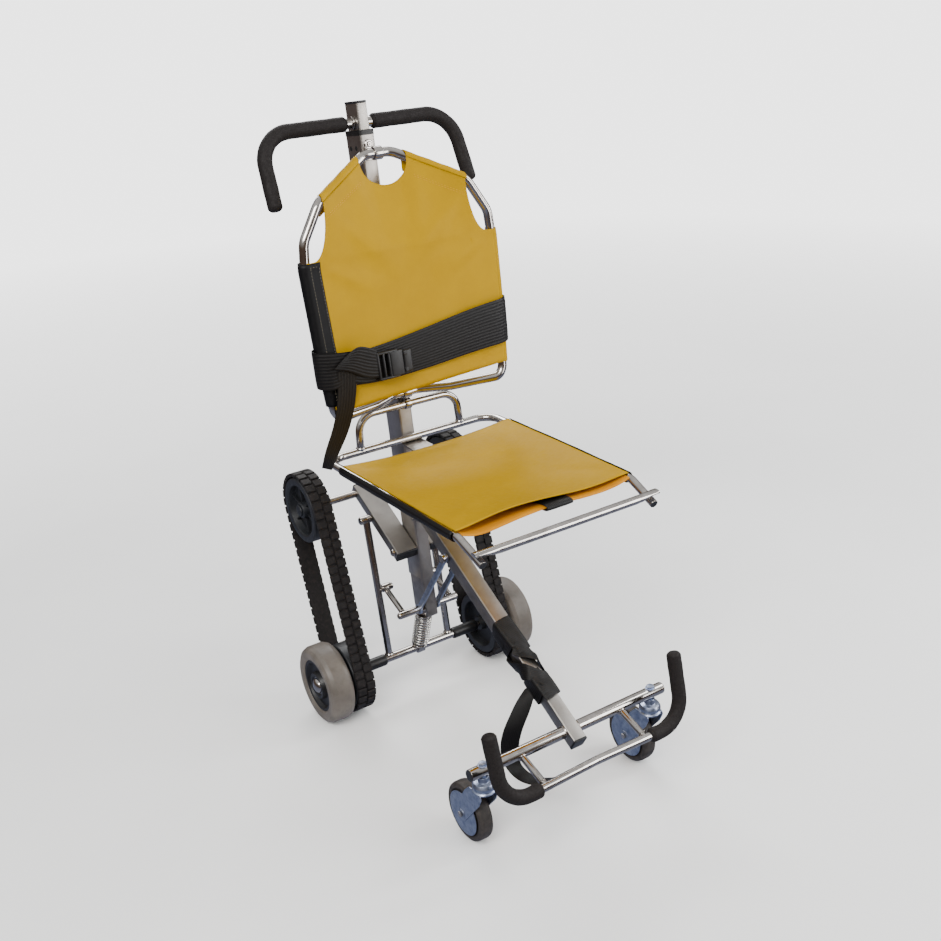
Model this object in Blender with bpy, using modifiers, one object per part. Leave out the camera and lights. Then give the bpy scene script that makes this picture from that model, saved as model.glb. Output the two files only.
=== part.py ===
"""Stair chair: a folding carry chair with rear tracks, a telescopic push handle and a braced front leg.

Metres, +Z up; the chair faces -Y and stands on z = 0. 'left' is -X and 'right' is +X.
Dimensions are given from the point under the rear axle; the whole chair hangs on an empty that moves
its middle over the origin.
"""

import math

import bmesh
import bpy
from mathutils import Matrix, Vector

MM = 0.001
GAP = 0.3 * MM
SIDES = (("left", -1), ("right", 1))

# ---- driving dimensions ---------------------------------------------------------------------
AXLE_BEHIND_MIDDLE = 237.1 * MM

WHEEL_RADIUS = 90 * MM
WHEEL_INNER_X, WHEEL_OUTER_X = 213 * MM, 271 * MM
TYRE_SHOULDER, TYRE_CHAMFER, TYRE_EDGE = 14 * MM, 8 * MM, 3 * MM
HUB_RECESS_RADIUS, HUB_RECESS_DEPTH = 29 * MM, 9 * MM
AXLE = Vector((0, 0, WHEEL_RADIUS))
AXLE_TUBE_RADIUS, AXLE_TUBE_HALF = 9.5 * MM, 160 * MM
AXLE_ROD_RADIUS, AXLE_ROD_HALF = 6 * MM, 264 * MM

MAST_LEAN = math.radians(6.6)
MAST_BASE_Y = -72.2 * MM
MAST_SIZE = (32 * MM, 62 * MM)
MAST_WALL = 2.5 * MM
MAST_START, MAST_END = 302 * MM, 1253 * MM
INNER_MAST_SIZE, INNER_MAST_WALL = (23 * MM, 50 * MM), 2.2 * MM
INNER_MAST_START, INNER_MAST_END = 940 * MM, 1306 * MM
FOOT_START, FOOT_TOP = 206 * MM, 360 * MM
FOOT_HALF_WIDTH, FOOT_HALF_DEPTH = 13.2 * MM, 28.2 * MM
FOOT_SLOT_CENTRE, FOOT_SLOT_HALF, FOOT_SLOT_TOP = -9.8 * MM, 10.2 * MM, 226 * MM
HANDLE_HEIGHT, HANDLE_HALF, HANDLE_BEND = 1262 * MM, 212 * MM, 62 * MM
BUTTON_HEIGHT, BUTTON_RADIUS = 1229 * MM, 4.6 * MM

TUBE_RADIUS = 8 * MM
BACK_TUBE_RADIUS = 9.5 * MM
FOAM_RADIUS, FOAM_OVERHANG = 14.5 * MM, 8 * MM
PIN_RADIUS, BOLT_RADIUS = 6 * MM, 5 * MM

COVER_BOTTOM, COVER_THICKNESS = 762 * MM, 3 * MM
BELT_MIDDLE, BELT_HALF_WIDTH, BELT_REACH = 852 * MM, 40 * MM, 222 * MM

SEAT_HINGE = Vector((0, -34 * MM, 706 * MM))
SEAT_BAR = Vector((0, -589 * MM, 637 * MM))
SPINE_PLATE_HALF, SPINE_PLATE_THICKNESS = 24 * MM, 4 * MM
LEG_HINGE = Vector((0, -75.6 * MM, 473 * MM))
BRACE_PIN = Vector((0, -187 * MM, 410 * MM))
CROSS_ROD = Vector((0, -56 * MM, 225 * MM))
LOCK_ARM_PIVOT = Vector((0, 26 * MM, 258 * MM))
LEG_DIRECTION = (BRACE_PIN - LEG_HINGE).normalized()
LEG_SIZE, LEG_WALL, LEG_INNER_SIZE, LEG_INNER_WALL = 36 * MM, 2.5 * MM, 30 * MM, 2.2 * MM
LEG_START, LEG_END, LEG_INNER_START = -14 * MM, 318 * MM, 190 * MM
WRAP_START, WRAP_END = 322 * MM, 440 * MM
LINK_X, LINK_RADIUS = (20 * MM, 26 * MM), 9 * MM
LOCK_ARM_X, LOCK_STEM_RADIUS = 62 * MM, 6.5 * MM

FOOT_TUBE = Vector((0, -578 * MM, 189 * MM))
FOOT_TUBE_RADIUS, FOOT_TUBE_HALF = 12 * MM, 233 * MM
FOOT_RAIL = Vector((0, -659 * MM, 165 * MM))
FOOT_RAIL_RADIUS, FOOT_RAIL_BEND = 8.5 * MM, 58 * MM
FOOT_STUB_X, FOOT_STUB_RADIUS, FOOT_GRIP_X = 120 * MM, 7 * MM, 129 * MM

CASTER_X, CASTER_Y = 203 * MM, -579 * MM
CASTER_RADIUS, CASTER_WIDTH, CASTER_TRAIL = 61 * MM, 31 * MM, 54 * MM
CROWN_Z, CUP_Z = (144 * MM, 149.5 * MM), (150 * MM, 165 * MM)

TRACK_TOP = Vector((0, 118 * MM, 462 * MM))
TRACK_ARM_FRONT = Vector((0, -52 * MM, 370 * MM))
TRACK_ARM_SIZE = (50 * MM, 24 * MM)
TRACK_ARM_X, TRACK_ARM_WALL = 41.5 * MM, 2.5 * MM
TRACK_ARM_OVERHANG, TRACK_BOLT_INSET = 14 * MM, 13 * MM
SIDE_STUB = Vector((0, 52 * MM, 426 * MM))
SIDE_TUBE_X = 80 * MM
BELT_INNER_X, BELT_OUTER_X = 163 * MM, 207 * MM
BELT_RADIUS, BELT_THICKNESS = 85 * MM, 9.5 * MM
PULLEY_RECESS, PULLEY_RECESS_DEPTH = (17 * MM, 62 * MM), 13 * MM
SPRING_RADIUS, SPRING_WIRE, SPRING_TURNS = 17.5 * MM, 2.3 * MM, 9

TUBE_SIDES = 8

# ---- scene set-up and small tools -------------------------------------------------------------
for old in list(bpy.data.objects):
    bpy.data.objects.remove(old, do_unlink=True)

PARTS = bpy.data.collections.new("stair_chair")
CUTTERS = bpy.data.collections.new("cutters")
bpy.context.scene.collection.children.link(PARTS)
bpy.context.scene.collection.children.link(CUTTERS)

CHAIR = bpy.data.objects.new("chair", None)
CHAIR.location = (0, AXLE_BEHIND_MIDDLE, 0)
PARTS.objects.link(CHAIR)


def material(name, colour, roughness, metallic):
    made = bpy.data.materials.new(name)
    made.use_nodes = True
    shader = made.node_tree.nodes["Principled BSDF"]
    shader.inputs["Base Color"].default_value = (*colour, 1)
    shader.inputs["Roughness"].default_value = roughness
    shader.inputs["Metallic"].default_value = metallic
    return made


STAINLESS = material("stainless_tube", (0.62, 0.60, 0.57), 0.22, 1.0)
SATIN = material("satin_stainless", (0.52, 0.50, 0.47), 0.38, 1.0)
ZINC = material("zinc_plate", (0.45, 0.52, 0.62), 0.35, 0.9)
SPRING_STEEL = material("spring_wire", (0.66, 0.66, 0.64), 0.25, 1.0)
FOAM = material("foam_grip", (0.045, 0.038, 0.038), 0.8, 0.0)
BLACK_PLASTIC = material("black_plastic", (0.02, 0.02, 0.022), 0.45, 0.0)
BLACK_RUBBER = material("black_rubber", (0.03, 0.03, 0.03), 0.7, 0.0)
GREY_RUBBER = material("grey_rubber", (0.25, 0.22, 0.21), 0.6, 0.0)
WEBBING = material("black_webbing", (0.025, 0.022, 0.022), 0.7, 0.0)
VINYL = material("yellow_vinyl", (0.87, 0.50, 0.01), 0.45, 0.0)


def mast_matrix():
    """Local x stays sideways, local y is depth towards the rear and local z runs up the leaning mast."""
    return Matrix.Translation((0, MAST_BASE_Y, 0)) @ Matrix.Rotation(-MAST_LEAN, 4, "X")


def on_mast(depth, along):
    return mast_matrix() @ Vector((0, depth, along))


def put(name, mesh, look, origin=(0, 0, 0), collection=PARTS):
    """An object on the chair from a mesh in the chair's coordinates, its origin moved to the given point."""
    mesh.transform(Matrix.Translation(-Vector(origin)))
    made = bpy.data.objects.new(name, mesh)
    made.location = origin
    made.parent = CHAIR
    if look:
        mesh.materials.append(look)
    collection.objects.link(made)
    return made


def mesh_from(bm, name, matrix=None, smooth_angle=40):
    mesh = bpy.data.meshes.new(name)
    bmesh.ops.recalc_face_normals(bm, faces=bm.faces)
    bm.to_mesh(mesh)
    bm.free()
    if matrix is not None:
        mesh.transform(matrix)
    mesh.shade_smooth()
    mesh.set_sharp_from_angle(angle=math.radians(smooth_angle))
    return mesh


def box_mesh(name, low, high, matrix=None, bevel=0.0):
    """A box between two corners, with its edges rounded by one segment when bevel is given."""
    bm = bmesh.new()
    bmesh.ops.create_cube(bm, size=1)
    size = [b - a for a, b in zip(low, high)]
    bmesh.ops.scale(bm, vec=size, verts=bm.verts)
    bmesh.ops.translate(bm, vec=[(a + b) / 2 for a, b in zip(low, high)], verts=bm.verts)
    if bevel:
        bmesh.ops.bevel(bm, geom=bm.edges, offset=bevel, segments=1, affect="EDGES")
    return mesh_from(bm, name, matrix)


def rod_mesh(name, start, end, radius, segments=12, end_radius=None):
    """A capped cylinder or cone between two points."""
    start, end = Vector(start), Vector(end)
    axis = end - start
    bm = bmesh.new()
    bmesh.ops.create_cone(
        bm, cap_ends=True, segments=segments, radius1=radius, depth=axis.length,
        radius2=radius if end_radius is None else end_radius,
    )
    turn = Vector((0, 0, 1)).rotation_difference(axis).to_matrix().to_4x4()
    return mesh_from(bm, name, Matrix.Translation((start + end) / 2) @ turn)


def bar_mesh(name, centre, half, radius, segments=16):
    """A capped cylinder along X, reaching half to each side of its centre."""
    side = Vector((half, 0, 0))
    return rod_mesh(name, Vector(centre) - side, Vector(centre) + side, radius, segments)


def post_mesh(name, x, y, low, high, radius, segments=16, top_radius=None):
    """A capped cylinder or cone along Z between two heights."""
    return rod_mesh(name, (x, y, low), (x, y, high), radius, segments, top_radius)


def plate_mesh(name, outline, x_low, x_high, holes=(), matrix=None):
    """A flat outline in the (y, z) plane with optional holes, extruded along X between two planes."""
    curve = bpy.data.curves.new(name, "CURVE")
    curve.dimensions = "2D"
    curve.fill_mode = "BOTH"
    curve.extrude = (x_high - x_low) / 2
    for ring in (outline, *holes):
        spline = curve.splines.new("POLY")
        spline.points.add(len(ring) - 1)
        for point, (y, z) in zip(spline.points, ring):
            point.co = (y, z, 0, 1)
        spline.use_cyclic_u = True
    stand = Matrix(((0, 0, 1, (x_low + x_high) / 2), (1, 0, 0, 0), (0, 1, 0, 0), (0, 0, 0, 1)))
    return curve_mesh(name, curve, stand if matrix is None else matrix @ stand)


def tube_mesh(name, points, radius, closed=False, resolution=2):
    """A round tube along a list of points; it has TUBE_SIDES sides at the default resolution."""
    curve = bpy.data.curves.new(name, "CURVE")
    curve.dimensions = "3D"
    curve.bevel_depth = radius
    curve.bevel_resolution = resolution
    curve.use_fill_caps = not closed
    spline = curve.splines.new("POLY")
    spline.points.add(len(points) - 1)
    for point, place in zip(spline.points, points):
        point.co = (*place, 1)
    spline.use_cyclic_u = closed
    return curve_mesh(name, curve, Matrix.Identity(4))


def curve_mesh(name, curve, matrix):
    """The curve's evaluated surface as a welded mesh; the curve itself is removed."""
    guide = bpy.data.objects.new(name + "_guide", curve)
    CUTTERS.objects.link(guide)
    graph = bpy.context.evaluated_depsgraph_get()
    raw = bpy.data.meshes.new_from_object(guide.evaluated_get(graph))
    bm = bmesh.new()
    bm.from_mesh(raw)
    bmesh.ops.remove_doubles(bm, verts=bm.verts, dist=0.002 * MM)
    bpy.data.objects.remove(guide)
    bpy.data.meshes.remove(raw)
    return mesh_from(bm, name, matrix)


def rounded(corners, radius, steps=4, closed=False):
    """The polyline through the corners with each corner replaced by an arc of the given radius."""
    corners = [Vector(c) for c in corners]
    count = len(corners)
    made = []
    for i, corner in enumerate(corners):
        if not closed and i in (0, count - 1):
            made.append(corner)
            continue
        back = corners[i - 1] - corner
        ahead = corners[(i + 1) % count] - corner
        half = back.angle(ahead) / 2
        reach = min(radius / math.tan(half), 0.48 * back.length, 0.48 * ahead.length)
        start = corner + back.normalized() * reach
        end = corner + ahead.normalized() * reach
        bisector = (back.normalized() + ahead.normalized()).normalized()
        centre = corner + bisector * (reach / math.cos(half))
        for step in range(steps + 1):
            arm = (start - centre).slerp(end - centre, step / steps)
            made.append(centre + arm.normalized() * (start - centre).length)
    return made


def mirrored(points):
    """A half route from the left end to the middle, continued to the right."""
    points = [Vector(p) for p in points]
    return points + [flipped(p) for p in reversed(points) if abs(p.x) > 0.001 * MM]


def flipped(point):
    return Vector((-point.x, point.y, point.z))


def arc(centre, radius, start_deg, end_deg, steps):
    """Points on an arc in the (y, z) plane."""
    made = []
    for step in range(steps + 1):
        angle = math.radians(start_deg + (end_deg - start_deg) * step / steps)
        made.append((centre[0] + radius * math.cos(angle), centre[1] + radius * math.sin(angle)))
    return made


def circle(centre, radius, steps=12):
    return arc(centre, radius, 0, 360, steps)[:-1]


def turned_mesh(name, profile, centre, steps=32):
    """A profile of (radius, x) pairs turned about the X axis through the centre with a Screw modifier."""
    mesh = bpy.data.meshes.new(name + "_profile")
    mesh.from_pydata([(r, 0, -x) for r, x in profile], [(i, i + 1) for i in range(len(profile) - 1)], [])
    guide = bpy.data.objects.new(name + "_guide", mesh)
    CUTTERS.objects.link(guide)
    screw = guide.modifiers.new("turn", "SCREW")
    screw.steps = screw.render_steps = steps
    screw.use_merge_vertices = True
    screw.merge_threshold = 0.01 * MM
    graph = bpy.context.evaluated_depsgraph_get()
    raw = bpy.data.meshes.new_from_object(guide.evaluated_get(graph))
    bm = bmesh.new()
    bm.from_mesh(raw)
    bmesh.ops.remove_doubles(bm, verts=bm.verts, dist=0.002 * MM)
    bpy.data.objects.remove(guide)
    lay = Matrix(((0, 0, -1, 0), (0, 1, 0, 0), (1, 0, 0, 0), (0, 0, 0, 1)))
    return mesh_from(bm, name, Matrix.Translation(centre) @ lay)


def helper(name, mesh):
    made = put(name, mesh, None, collection=CUTTERS)
    made.hide_render = True
    made.display_type = "WIRE"
    return made


def boolean(target, mesh, operation):
    """Cuts a mesh from the target, or joins it on, with a live modifier."""
    other = helper(f"{target.name}_{operation.lower()}_{len(target.modifiers)}", mesh)
    step = target.modifiers.new(operation.lower(), "BOOLEAN")
    step.operation = operation
    step.object = other
    return target


def cut(target, mesh):
    return boolean(target, mesh, "DIFFERENCE")


def join(target, mesh):
    return boolean(target, mesh, "UNION")


def cross_cut(target, centre, radius, half=60 * MM, segments=12):
    """A round hole along X through the target; its flats stand at the given radius."""
    outer = radius / math.cos(math.pi / segments)
    return cut(target, bar_mesh("hole", centre, half, outer, segments))


def rect_tube_mesh(name, size, start, end, matrix, wall):
    """A rectangular tube along local z with open ends: an outline with a hole, extruded."""
    (w, d) = size
    outer = [(-w / 2, -d / 2), (w / 2, -d / 2), (w / 2, d / 2), (-w / 2, d / 2)]
    inner = [(x * (1 - 2 * wall / w), y * (1 - 2 * wall / d)) for x, y in outer]
    curve = bpy.data.curves.new(name, "CURVE")
    curve.dimensions = "2D"
    curve.fill_mode = "BOTH"
    curve.extrude = (end - start) / 2
    for ring in (outer, inner):
        spline = curve.splines.new("POLY")
        spline.points.add(3)
        for point, (x, y) in zip(spline.points, ring):
            point.co = (x, y, 0, 1)
        spline.use_cyclic_u = True
    return curve_mesh(name, curve, matrix @ Matrix.Translation((0, 0, (start + end) / 2)))


def frame_along(origin, direction):
    """A matrix whose local z runs along the direction and whose local x stays sideways."""
    z = Vector(direction).normalized()
    x = Vector((1, 0, 0))
    y = z.cross(x)
    turn = Matrix((x, y, z)).transposed().to_4x4()
    return Matrix.Translation(origin) @ turn


# ---- mast and push handle ---------------------------------------------------------------------
def make_mast():
    """The outer and inner mast tubes with their holes, the guide bush between them and the cap."""
    mast = mast_matrix()
    tube = rect_tube_mesh("mast", MAST_SIZE, MAST_START, MAST_END, mast, MAST_WALL)
    outer = put("mast_outer_tube", tube, SATIN)
    for depth in (-8 * MM, 14 * MM):
        cross_cut(outer, on_mast(depth, BUTTON_HEIGHT - 6 * MM), 4.5 * MM, half=40 * MM)
    front = -MAST_SIZE[1] / 2
    ahead, behind = on_mast(front - 5 * MM, BUTTON_HEIGHT), on_mast(front + 10 * MM, BUTTON_HEIGHT)
    cut(outer, rod_mesh("hole", ahead, behind, BUTTON_RADIUS + 3 * GAP))
    cross_cut(outer, TRACK_BOLT, BOLT_RADIUS + GAP)

    bush_size = [side - 2 * MAST_WALL - 2 * GAP for side in MAST_SIZE]
    bush = rect_tube_mesh("bush", bush_size, MAST_END - 18 * MM, MAST_END + 2 * MM, mast, 1.4 * MM)
    put("mast_guide_bush", bush, BLACK_PLASTIC)

    origin = on_mast(0, MAST_END)
    tube = rect_tube_mesh("inner", INNER_MAST_SIZE, INNER_MAST_START, INNER_MAST_END, mast, INNER_MAST_WALL)
    inner = put("mast_inner_tube", tube, SATIN, origin)
    cut(inner, bar_mesh("hole", HANDLE, 50 * MM, BACK_TUBE_RADIUS + GAP + 0.2 * MM))
    w, d = (side / 2 for side in INNER_MAST_SIZE)
    low, high = INNER_MAST_END + GAP, INNER_MAST_END + 5 * MM
    cap = put("mast_cap", box_mesh("cap", (-w, -d, low), (w, d, high), mast, 1 * MM), BLACK_PLASTIC, origin)
    w, d = w - INNER_MAST_WALL - 0.4 * MM, d - INNER_MAST_WALL - 0.4 * MM
    low, high = INNER_MAST_END - 12 * MM, INNER_MAST_END + 2 * MM
    join(cap, box_mesh("plug", (-w, -d, low), (w, d, high), mast))


def make_mast_foot():
    """A bar inside the mast's lower end; its slot holds the cross rod and opens downwards."""
    half, chamfer, nose = FOOT_HALF_DEPTH, 3 * MM, 18 * MM
    outline = [(half, FOOT_TOP), (-half, FOOT_TOP)]
    outline += [(-half, FOOT_START + chamfer), (-half + chamfer, FOOT_START)]
    outline += [(FOOT_SLOT_CENTRE - FOOT_SLOT_HALF, FOOT_START)]
    outline += arc((FOOT_SLOT_CENTRE, FOOT_SLOT_TOP), FOOT_SLOT_HALF, 180, 0, 8)
    outline += [(FOOT_SLOT_CENTRE + FOOT_SLOT_HALF, FOOT_START)]
    outline += arc((half - nose, FOOT_START + nose), nose, -90, 0, 4)
    plate = plate_mesh("foot", outline, -FOOT_HALF_WIDTH, FOOT_HALF_WIDTH, matrix=mast_matrix())
    put("mast_foot", plate, SATIN)


def make_handle():
    """The push handle: one bar bent down at both ends, with a foam grip over each side."""
    tip = Vector((-219 * MM, 18 * MM, 1129 * MM))
    corner = Vector((-HANDLE_HALF, 76 * MM, HANDLE_HEIGHT))
    route = rounded(mirrored([tip, corner, HANDLE]), HANDLE_BEND, steps=5)
    put("push_handle_bar", tube_mesh("bar", shortened(route), BACK_TUBE_RADIUS), STAINLESS, HANDLE)
    make_grips("handle_grip", route, BACK_TUBE_RADIUS, 26 * MM, HANDLE)


def shortened(route):
    """A symmetric route whose ends stop short by the foam's overhang."""
    inward = (route[1] - route[0]).normalized() * FOAM_OVERHANG
    return [route[0] + inward] + route[1:-1] + [route[-1] + flipped(inward)]


def make_grips(name, route, bar_radius, start_x, origin):
    """Foam tubes over both ends of a symmetric bar, each from start_x out to the bar's end."""
    bore = (bar_radius + GAP) / math.cos(math.pi / TUBE_SIDES)
    for side, sign in SIDES:
        ordered = half_route(route, sign, start_x)
        grip = put(f"{name}_{side}", tube_mesh("foam", ordered, FOAM_RADIUS), FOAM, origin)
        inward = ordered[0] - (ordered[1] - ordered[0]).normalized() * 5 * MM
        last = ordered[-1] + (ordered[-2] - ordered[-1]).normalized() * (FOAM_OVERHANG - 1 * MM)
        cut(grip, tube_mesh("bore", [inward] + ordered[1:-1] + [last], bore))


def half_route(route, sign, start_x):
    """The points of one side in order from the inner end to the tip."""
    points = route if sign > 0 else [Vector(p) for p in reversed(route)]
    middle = next(i for i, p in enumerate(points) if p[0] * sign > start_x)
    inner = points[middle].copy()
    before = points[middle - 1]
    share = (start_x - before[0] * sign) / ((inner[0] - before[0]) * sign)
    first = before.lerp(inner, share)
    return [first] + [Vector(p) for p in points[middle:]]


def make_lock_button():
    front = -MAST_SIZE[1] / 2
    start, end = on_mast(front + 1.5 * MM, BUTTON_HEIGHT), on_mast(front - 5 * MM, BUTTON_HEIGHT)
    put("mast_lock_button", rod_mesh("button", start, end, BUTTON_RADIUS, 16), STAINLESS, start)


# ---- backrest -----------------------------------------------------------------------------------
BACK_ROUTE = (
    (-30, 7, 1211), (-164, -53, 1147), (-206, -60, 1080), (-211, -63, 1030),
    (-207, -84, 880), (-200, -101, 756), (-188, -103, 741), (-90, -62, 731), (-30, -33, 731.5),
)


def make_backrest():
    corners = [Vector(p) * MM for p in BACK_ROUTE]
    loop = rounded(mirrored(corners), 30 * MM, steps=2, closed=True)
    put("backrest_frame", tube_mesh("loop", loop, BACK_TUBE_RADIUS, closed=True), STAINLESS)
    for name, centre, width in (
        ("backrest_top_bracket", Vector((0, 7 * MM, 1211 * MM)), 9 * MM),
        ("backrest_bottom_bracket", Vector((0, -33 * MM, 731.5 * MM)), 9 * MM),
    ):
        make_saddle(name, centre, BACK_TUBE_RADIUS, width)


def make_saddle(name, centre, tube_radius, half_width):
    """A ring round a cross tube, standing on a foot that meets the mast's front face."""
    local = mast_matrix().inverted() @ centre
    face = -MAST_SIZE[1] / 2 - GAP
    outer = tube_radius + 3.5 * MM
    ring = plate_mesh("ring", circle((centre.y, centre.z), outer, 12), -half_width, half_width)
    body = put(name, ring, STAINLESS)
    low, high = (-half_width, local.y, local.z - 10 * MM), (half_width, face, local.z + 10 * MM)
    join(body, box_mesh("foot", low, high, mast_matrix()))
    cross_cut(body, centre, tube_radius + GAP)


SHOULDER_Z = 1044 * MM
BACK_SLOPE = 0.148
COVER_STANDOFF = 13 * MM


def cover_top(x):
    """Height of the cover's upper edge: a round notch, then sloping shoulders, then cut-outs."""
    x = abs(x)
    if x < 52 * MM:
        return 1200 * MM - math.sqrt(max(0.0, 1 - (x / (52 * MM)) ** 2)) * 42 * MM
    if x < 158 * MM:
        return (1196 - (x / MM - 52) * 0.5) * MM
    share = min(1.0, (x - 158 * MM) / (38 * MM))
    return 1143 * MM - 100 * MM * math.sqrt(1 - (1 - share) ** 2)


def cover_y(x, z):
    """Depth of the cover's middle surface, COVER_STANDOFF in front of the tubes."""
    if z <= SHOULDER_Z:
        return -63 * MM - COVER_STANDOFF - BACK_SLOPE * (SHOULDER_Z - z)
    out = min(max(abs(x), 30 * MM), 164 * MM) - 30 * MM
    tube_y, tube_z = 7 * MM - 0.448 * out, 1211 * MM - 0.478 * out
    share = min(1.0, (z - SHOULDER_Z) / (tube_z - SHOULDER_Z))
    return (-63 * MM) * (1 - share) + tube_y * share - COVER_STANDOFF


def make_cover():
    """A closed sheet lofted on a grid of columns across the back and rows up it."""
    columns = [x * MM for x in (-196, -185, -172, -158, -140, -105, -75, -53, -45, -30, -12)]
    columns += [-x for x in reversed(columns)]
    rows = 4
    layers = []
    for offset in (-COVER_THICKNESS / 2, COVER_THICKNESS / 2):
        grid = []
        for x in columns:
            rise = cover_top(x) - COVER_BOTTOM
            heights = [COVER_BOTTOM + rise * row / rows for row in range(rows + 1)]
            grid.append([(x, cover_y(x, z) + offset, z) for z in heights])
        layers.append(grid)
    put("backrest_cover", sheet_mesh("cover", layers), VINYL)


def sheet_mesh(name, layers):
    """A closed sheet from two grids of points, its lower and its upper side, joined round their rims."""
    bm = bmesh.new()
    low, high = [[[bm.verts.new(point) for point in line] for line in grid] for grid in layers]
    last_c, last_r = len(low) - 1, len(low[0]) - 1
    for grid in (low, high):
        for a, b in zip(grid, grid[1:]):
            for r in range(last_r):
                bm.faces.new((a[r], b[r], b[r + 1], a[r + 1]))
    rim = [(0, r) for r in range(last_r)] + [(c, last_r) for c in range(last_c)]
    rim += [(last_c, last_r - r) for r in range(last_r)] + [(last_c - c, 0) for c in range(last_c)]
    for (c0, r0), (c1, r1) in zip(rim, rim[1:] + rim[:1]):
        bm.faces.new((low[c0][r0], low[c1][r1], high[c1][r1], high[c0][r0]))
    return mesh_from(bm, name)


def make_lap_belt():
    """A wide flat band across the cover's front, its hanging tail, and a side-release buckle."""
    thick = 2 * MM
    low, high = -BELT_HALF_WIDTH, BELT_HALF_WIDTH
    lean = Matrix.Rotation(-math.atan(BACK_SLOPE), 4, "X")
    plane = Matrix.Translation((0, cover_y(0, BELT_MIDDLE) - 2.2 * MM, BELT_MIDDLE)) @ lean
    strip = box_mesh("band", (-BELT_REACH, -thick, low), (BELT_REACH, 0, high), plane)
    band = put("lap_belt_band", strip, WEBBING)
    for _, sign in SIDES:
        x = sorted((sign * (BELT_REACH - 0.5 * MM), sign * (BELT_REACH + 3 * MM)))
        join(band, box_mesh("return", (x[0], -thick, low), (x[1], 34 * MM, high), plane))

    tail_top, tail_end = Vector((-228, -104, 806)) * MM, Vector((-231, -96, 640)) * MM
    tail = frame_along(tail_end, tail_top - tail_end)
    length = (tail_top - tail_end).length
    half = Vector((1.2 * MM, 22 * MM, 0))
    hanging = box_mesh("tail", -half, half + Vector((0, 0, length)), tail)
    put("lap_belt_tail", hanging, WEBBING)

    back, front = -thick - 1 * MM, -thick - 14 * MM
    foot, head = -26 * MM, 20 * MM
    body = box_mesh("body", (-104 * MM, front, foot), (-56 * MM, back, head), plane, bevel=2 * MM)
    put("buckle_body", body, BLACK_PLASTIC)
    low_corner = (-55 * MM, front + 1 * MM, foot + 2 * MM)
    high_corner = (-22 * MM, back, head - 2 * MM)
    clip = box_mesh("clip", low_corner, high_corner, plane, bevel=2 * MM)
    put("buckle_clip", clip, BLACK_PLASTIC, plane @ Vector((-55 * MM, back, 0)))


# ---- seat ---------------------------------------------------------------------------------------
SEAT_REAR = Vector((0, -42 * MM, 632 * MM))
SEAT_SIDE = ((-190, -596, 620), (-193, -527, 647), (-197, -300, 641), (-200, -42, 632))


def make_seat():
    """The seat's bent tube with its front bar, the rear hoop that it swings on, and the spine plate."""
    route = rounded(mirrored([Vector(p) * MM for p in SEAT_SIDE]), 34 * MM, steps=4)
    frame = put("seat_frame", tube_mesh("frame", route, TUBE_RADIUS), STAINLESS, SEAT_HINGE)
    join(frame, bar_mesh("bar", SEAT_BAR, 205 * MM, TUBE_RADIUS, 12))
    foot = Vector((-122 * MM, SEAT_REAR.y, SEAT_REAR.z + TUBE_RADIUS + 2 * GAP))
    bend = Vector((-118 * MM, -36 * MM, SEAT_HINGE.z))
    hoop = rounded(mirrored([foot, bend, SEAT_HINGE]), 48 * MM, steps=4)
    put("seat_hoop", tube_mesh("hoop", hoop, TUBE_RADIUS), STAINLESS, SEAT_HINGE)
    top = SEAT_REAR.z - TUBE_RADIUS - GAP
    low_corner = (-SPINE_PLATE_HALF, -190 * MM, top - SPINE_PLATE_THICKNESS)
    high_corner = (SPINE_PLATE_HALF, -35 * MM, top)
    put("seat_spine_plate", box_mesh("spine", low_corner, high_corner), SATIN, SEAT_HINGE)


def make_seat_sling():
    """A sheet over both side tubes that dips towards the middle of the seat."""
    flat, overlap, standoff, most_dip = 184, 206, 10.5, 12
    columns = [-overlap, -flat, -120, -60, 0, 60, 120, flat, overlap]
    rows = [-112, -250, -390, -519]
    (_, front_y, front_z), (_, rear_y, rear_z) = SEAT_SIDE[1:3]
    slope = (front_z - rear_z) / (front_y - rear_y)
    layers = []
    for offset in (-COVER_THICKNESS / 2, COVER_THICKNESS / 2):
        grid = []
        for x in columns:
            lift = standoff - max(0, most_dip * (1 - (x / flat) ** 2))
            heights = [rear_z + slope * (y - rear_y) + lift for y in rows]
            grid.append([(x * MM, y * MM, z * MM + offset) for y, z in zip(rows, heights)])
        layers.append(grid)
    put("seat_sling", sheet_mesh("sling", layers), VINYL, SEAT_HINGE)


def make_seat_saddle():
    make_saddle("seat_hinge_saddle", SEAT_HINGE, TUBE_RADIUS, 7 * MM)


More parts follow.
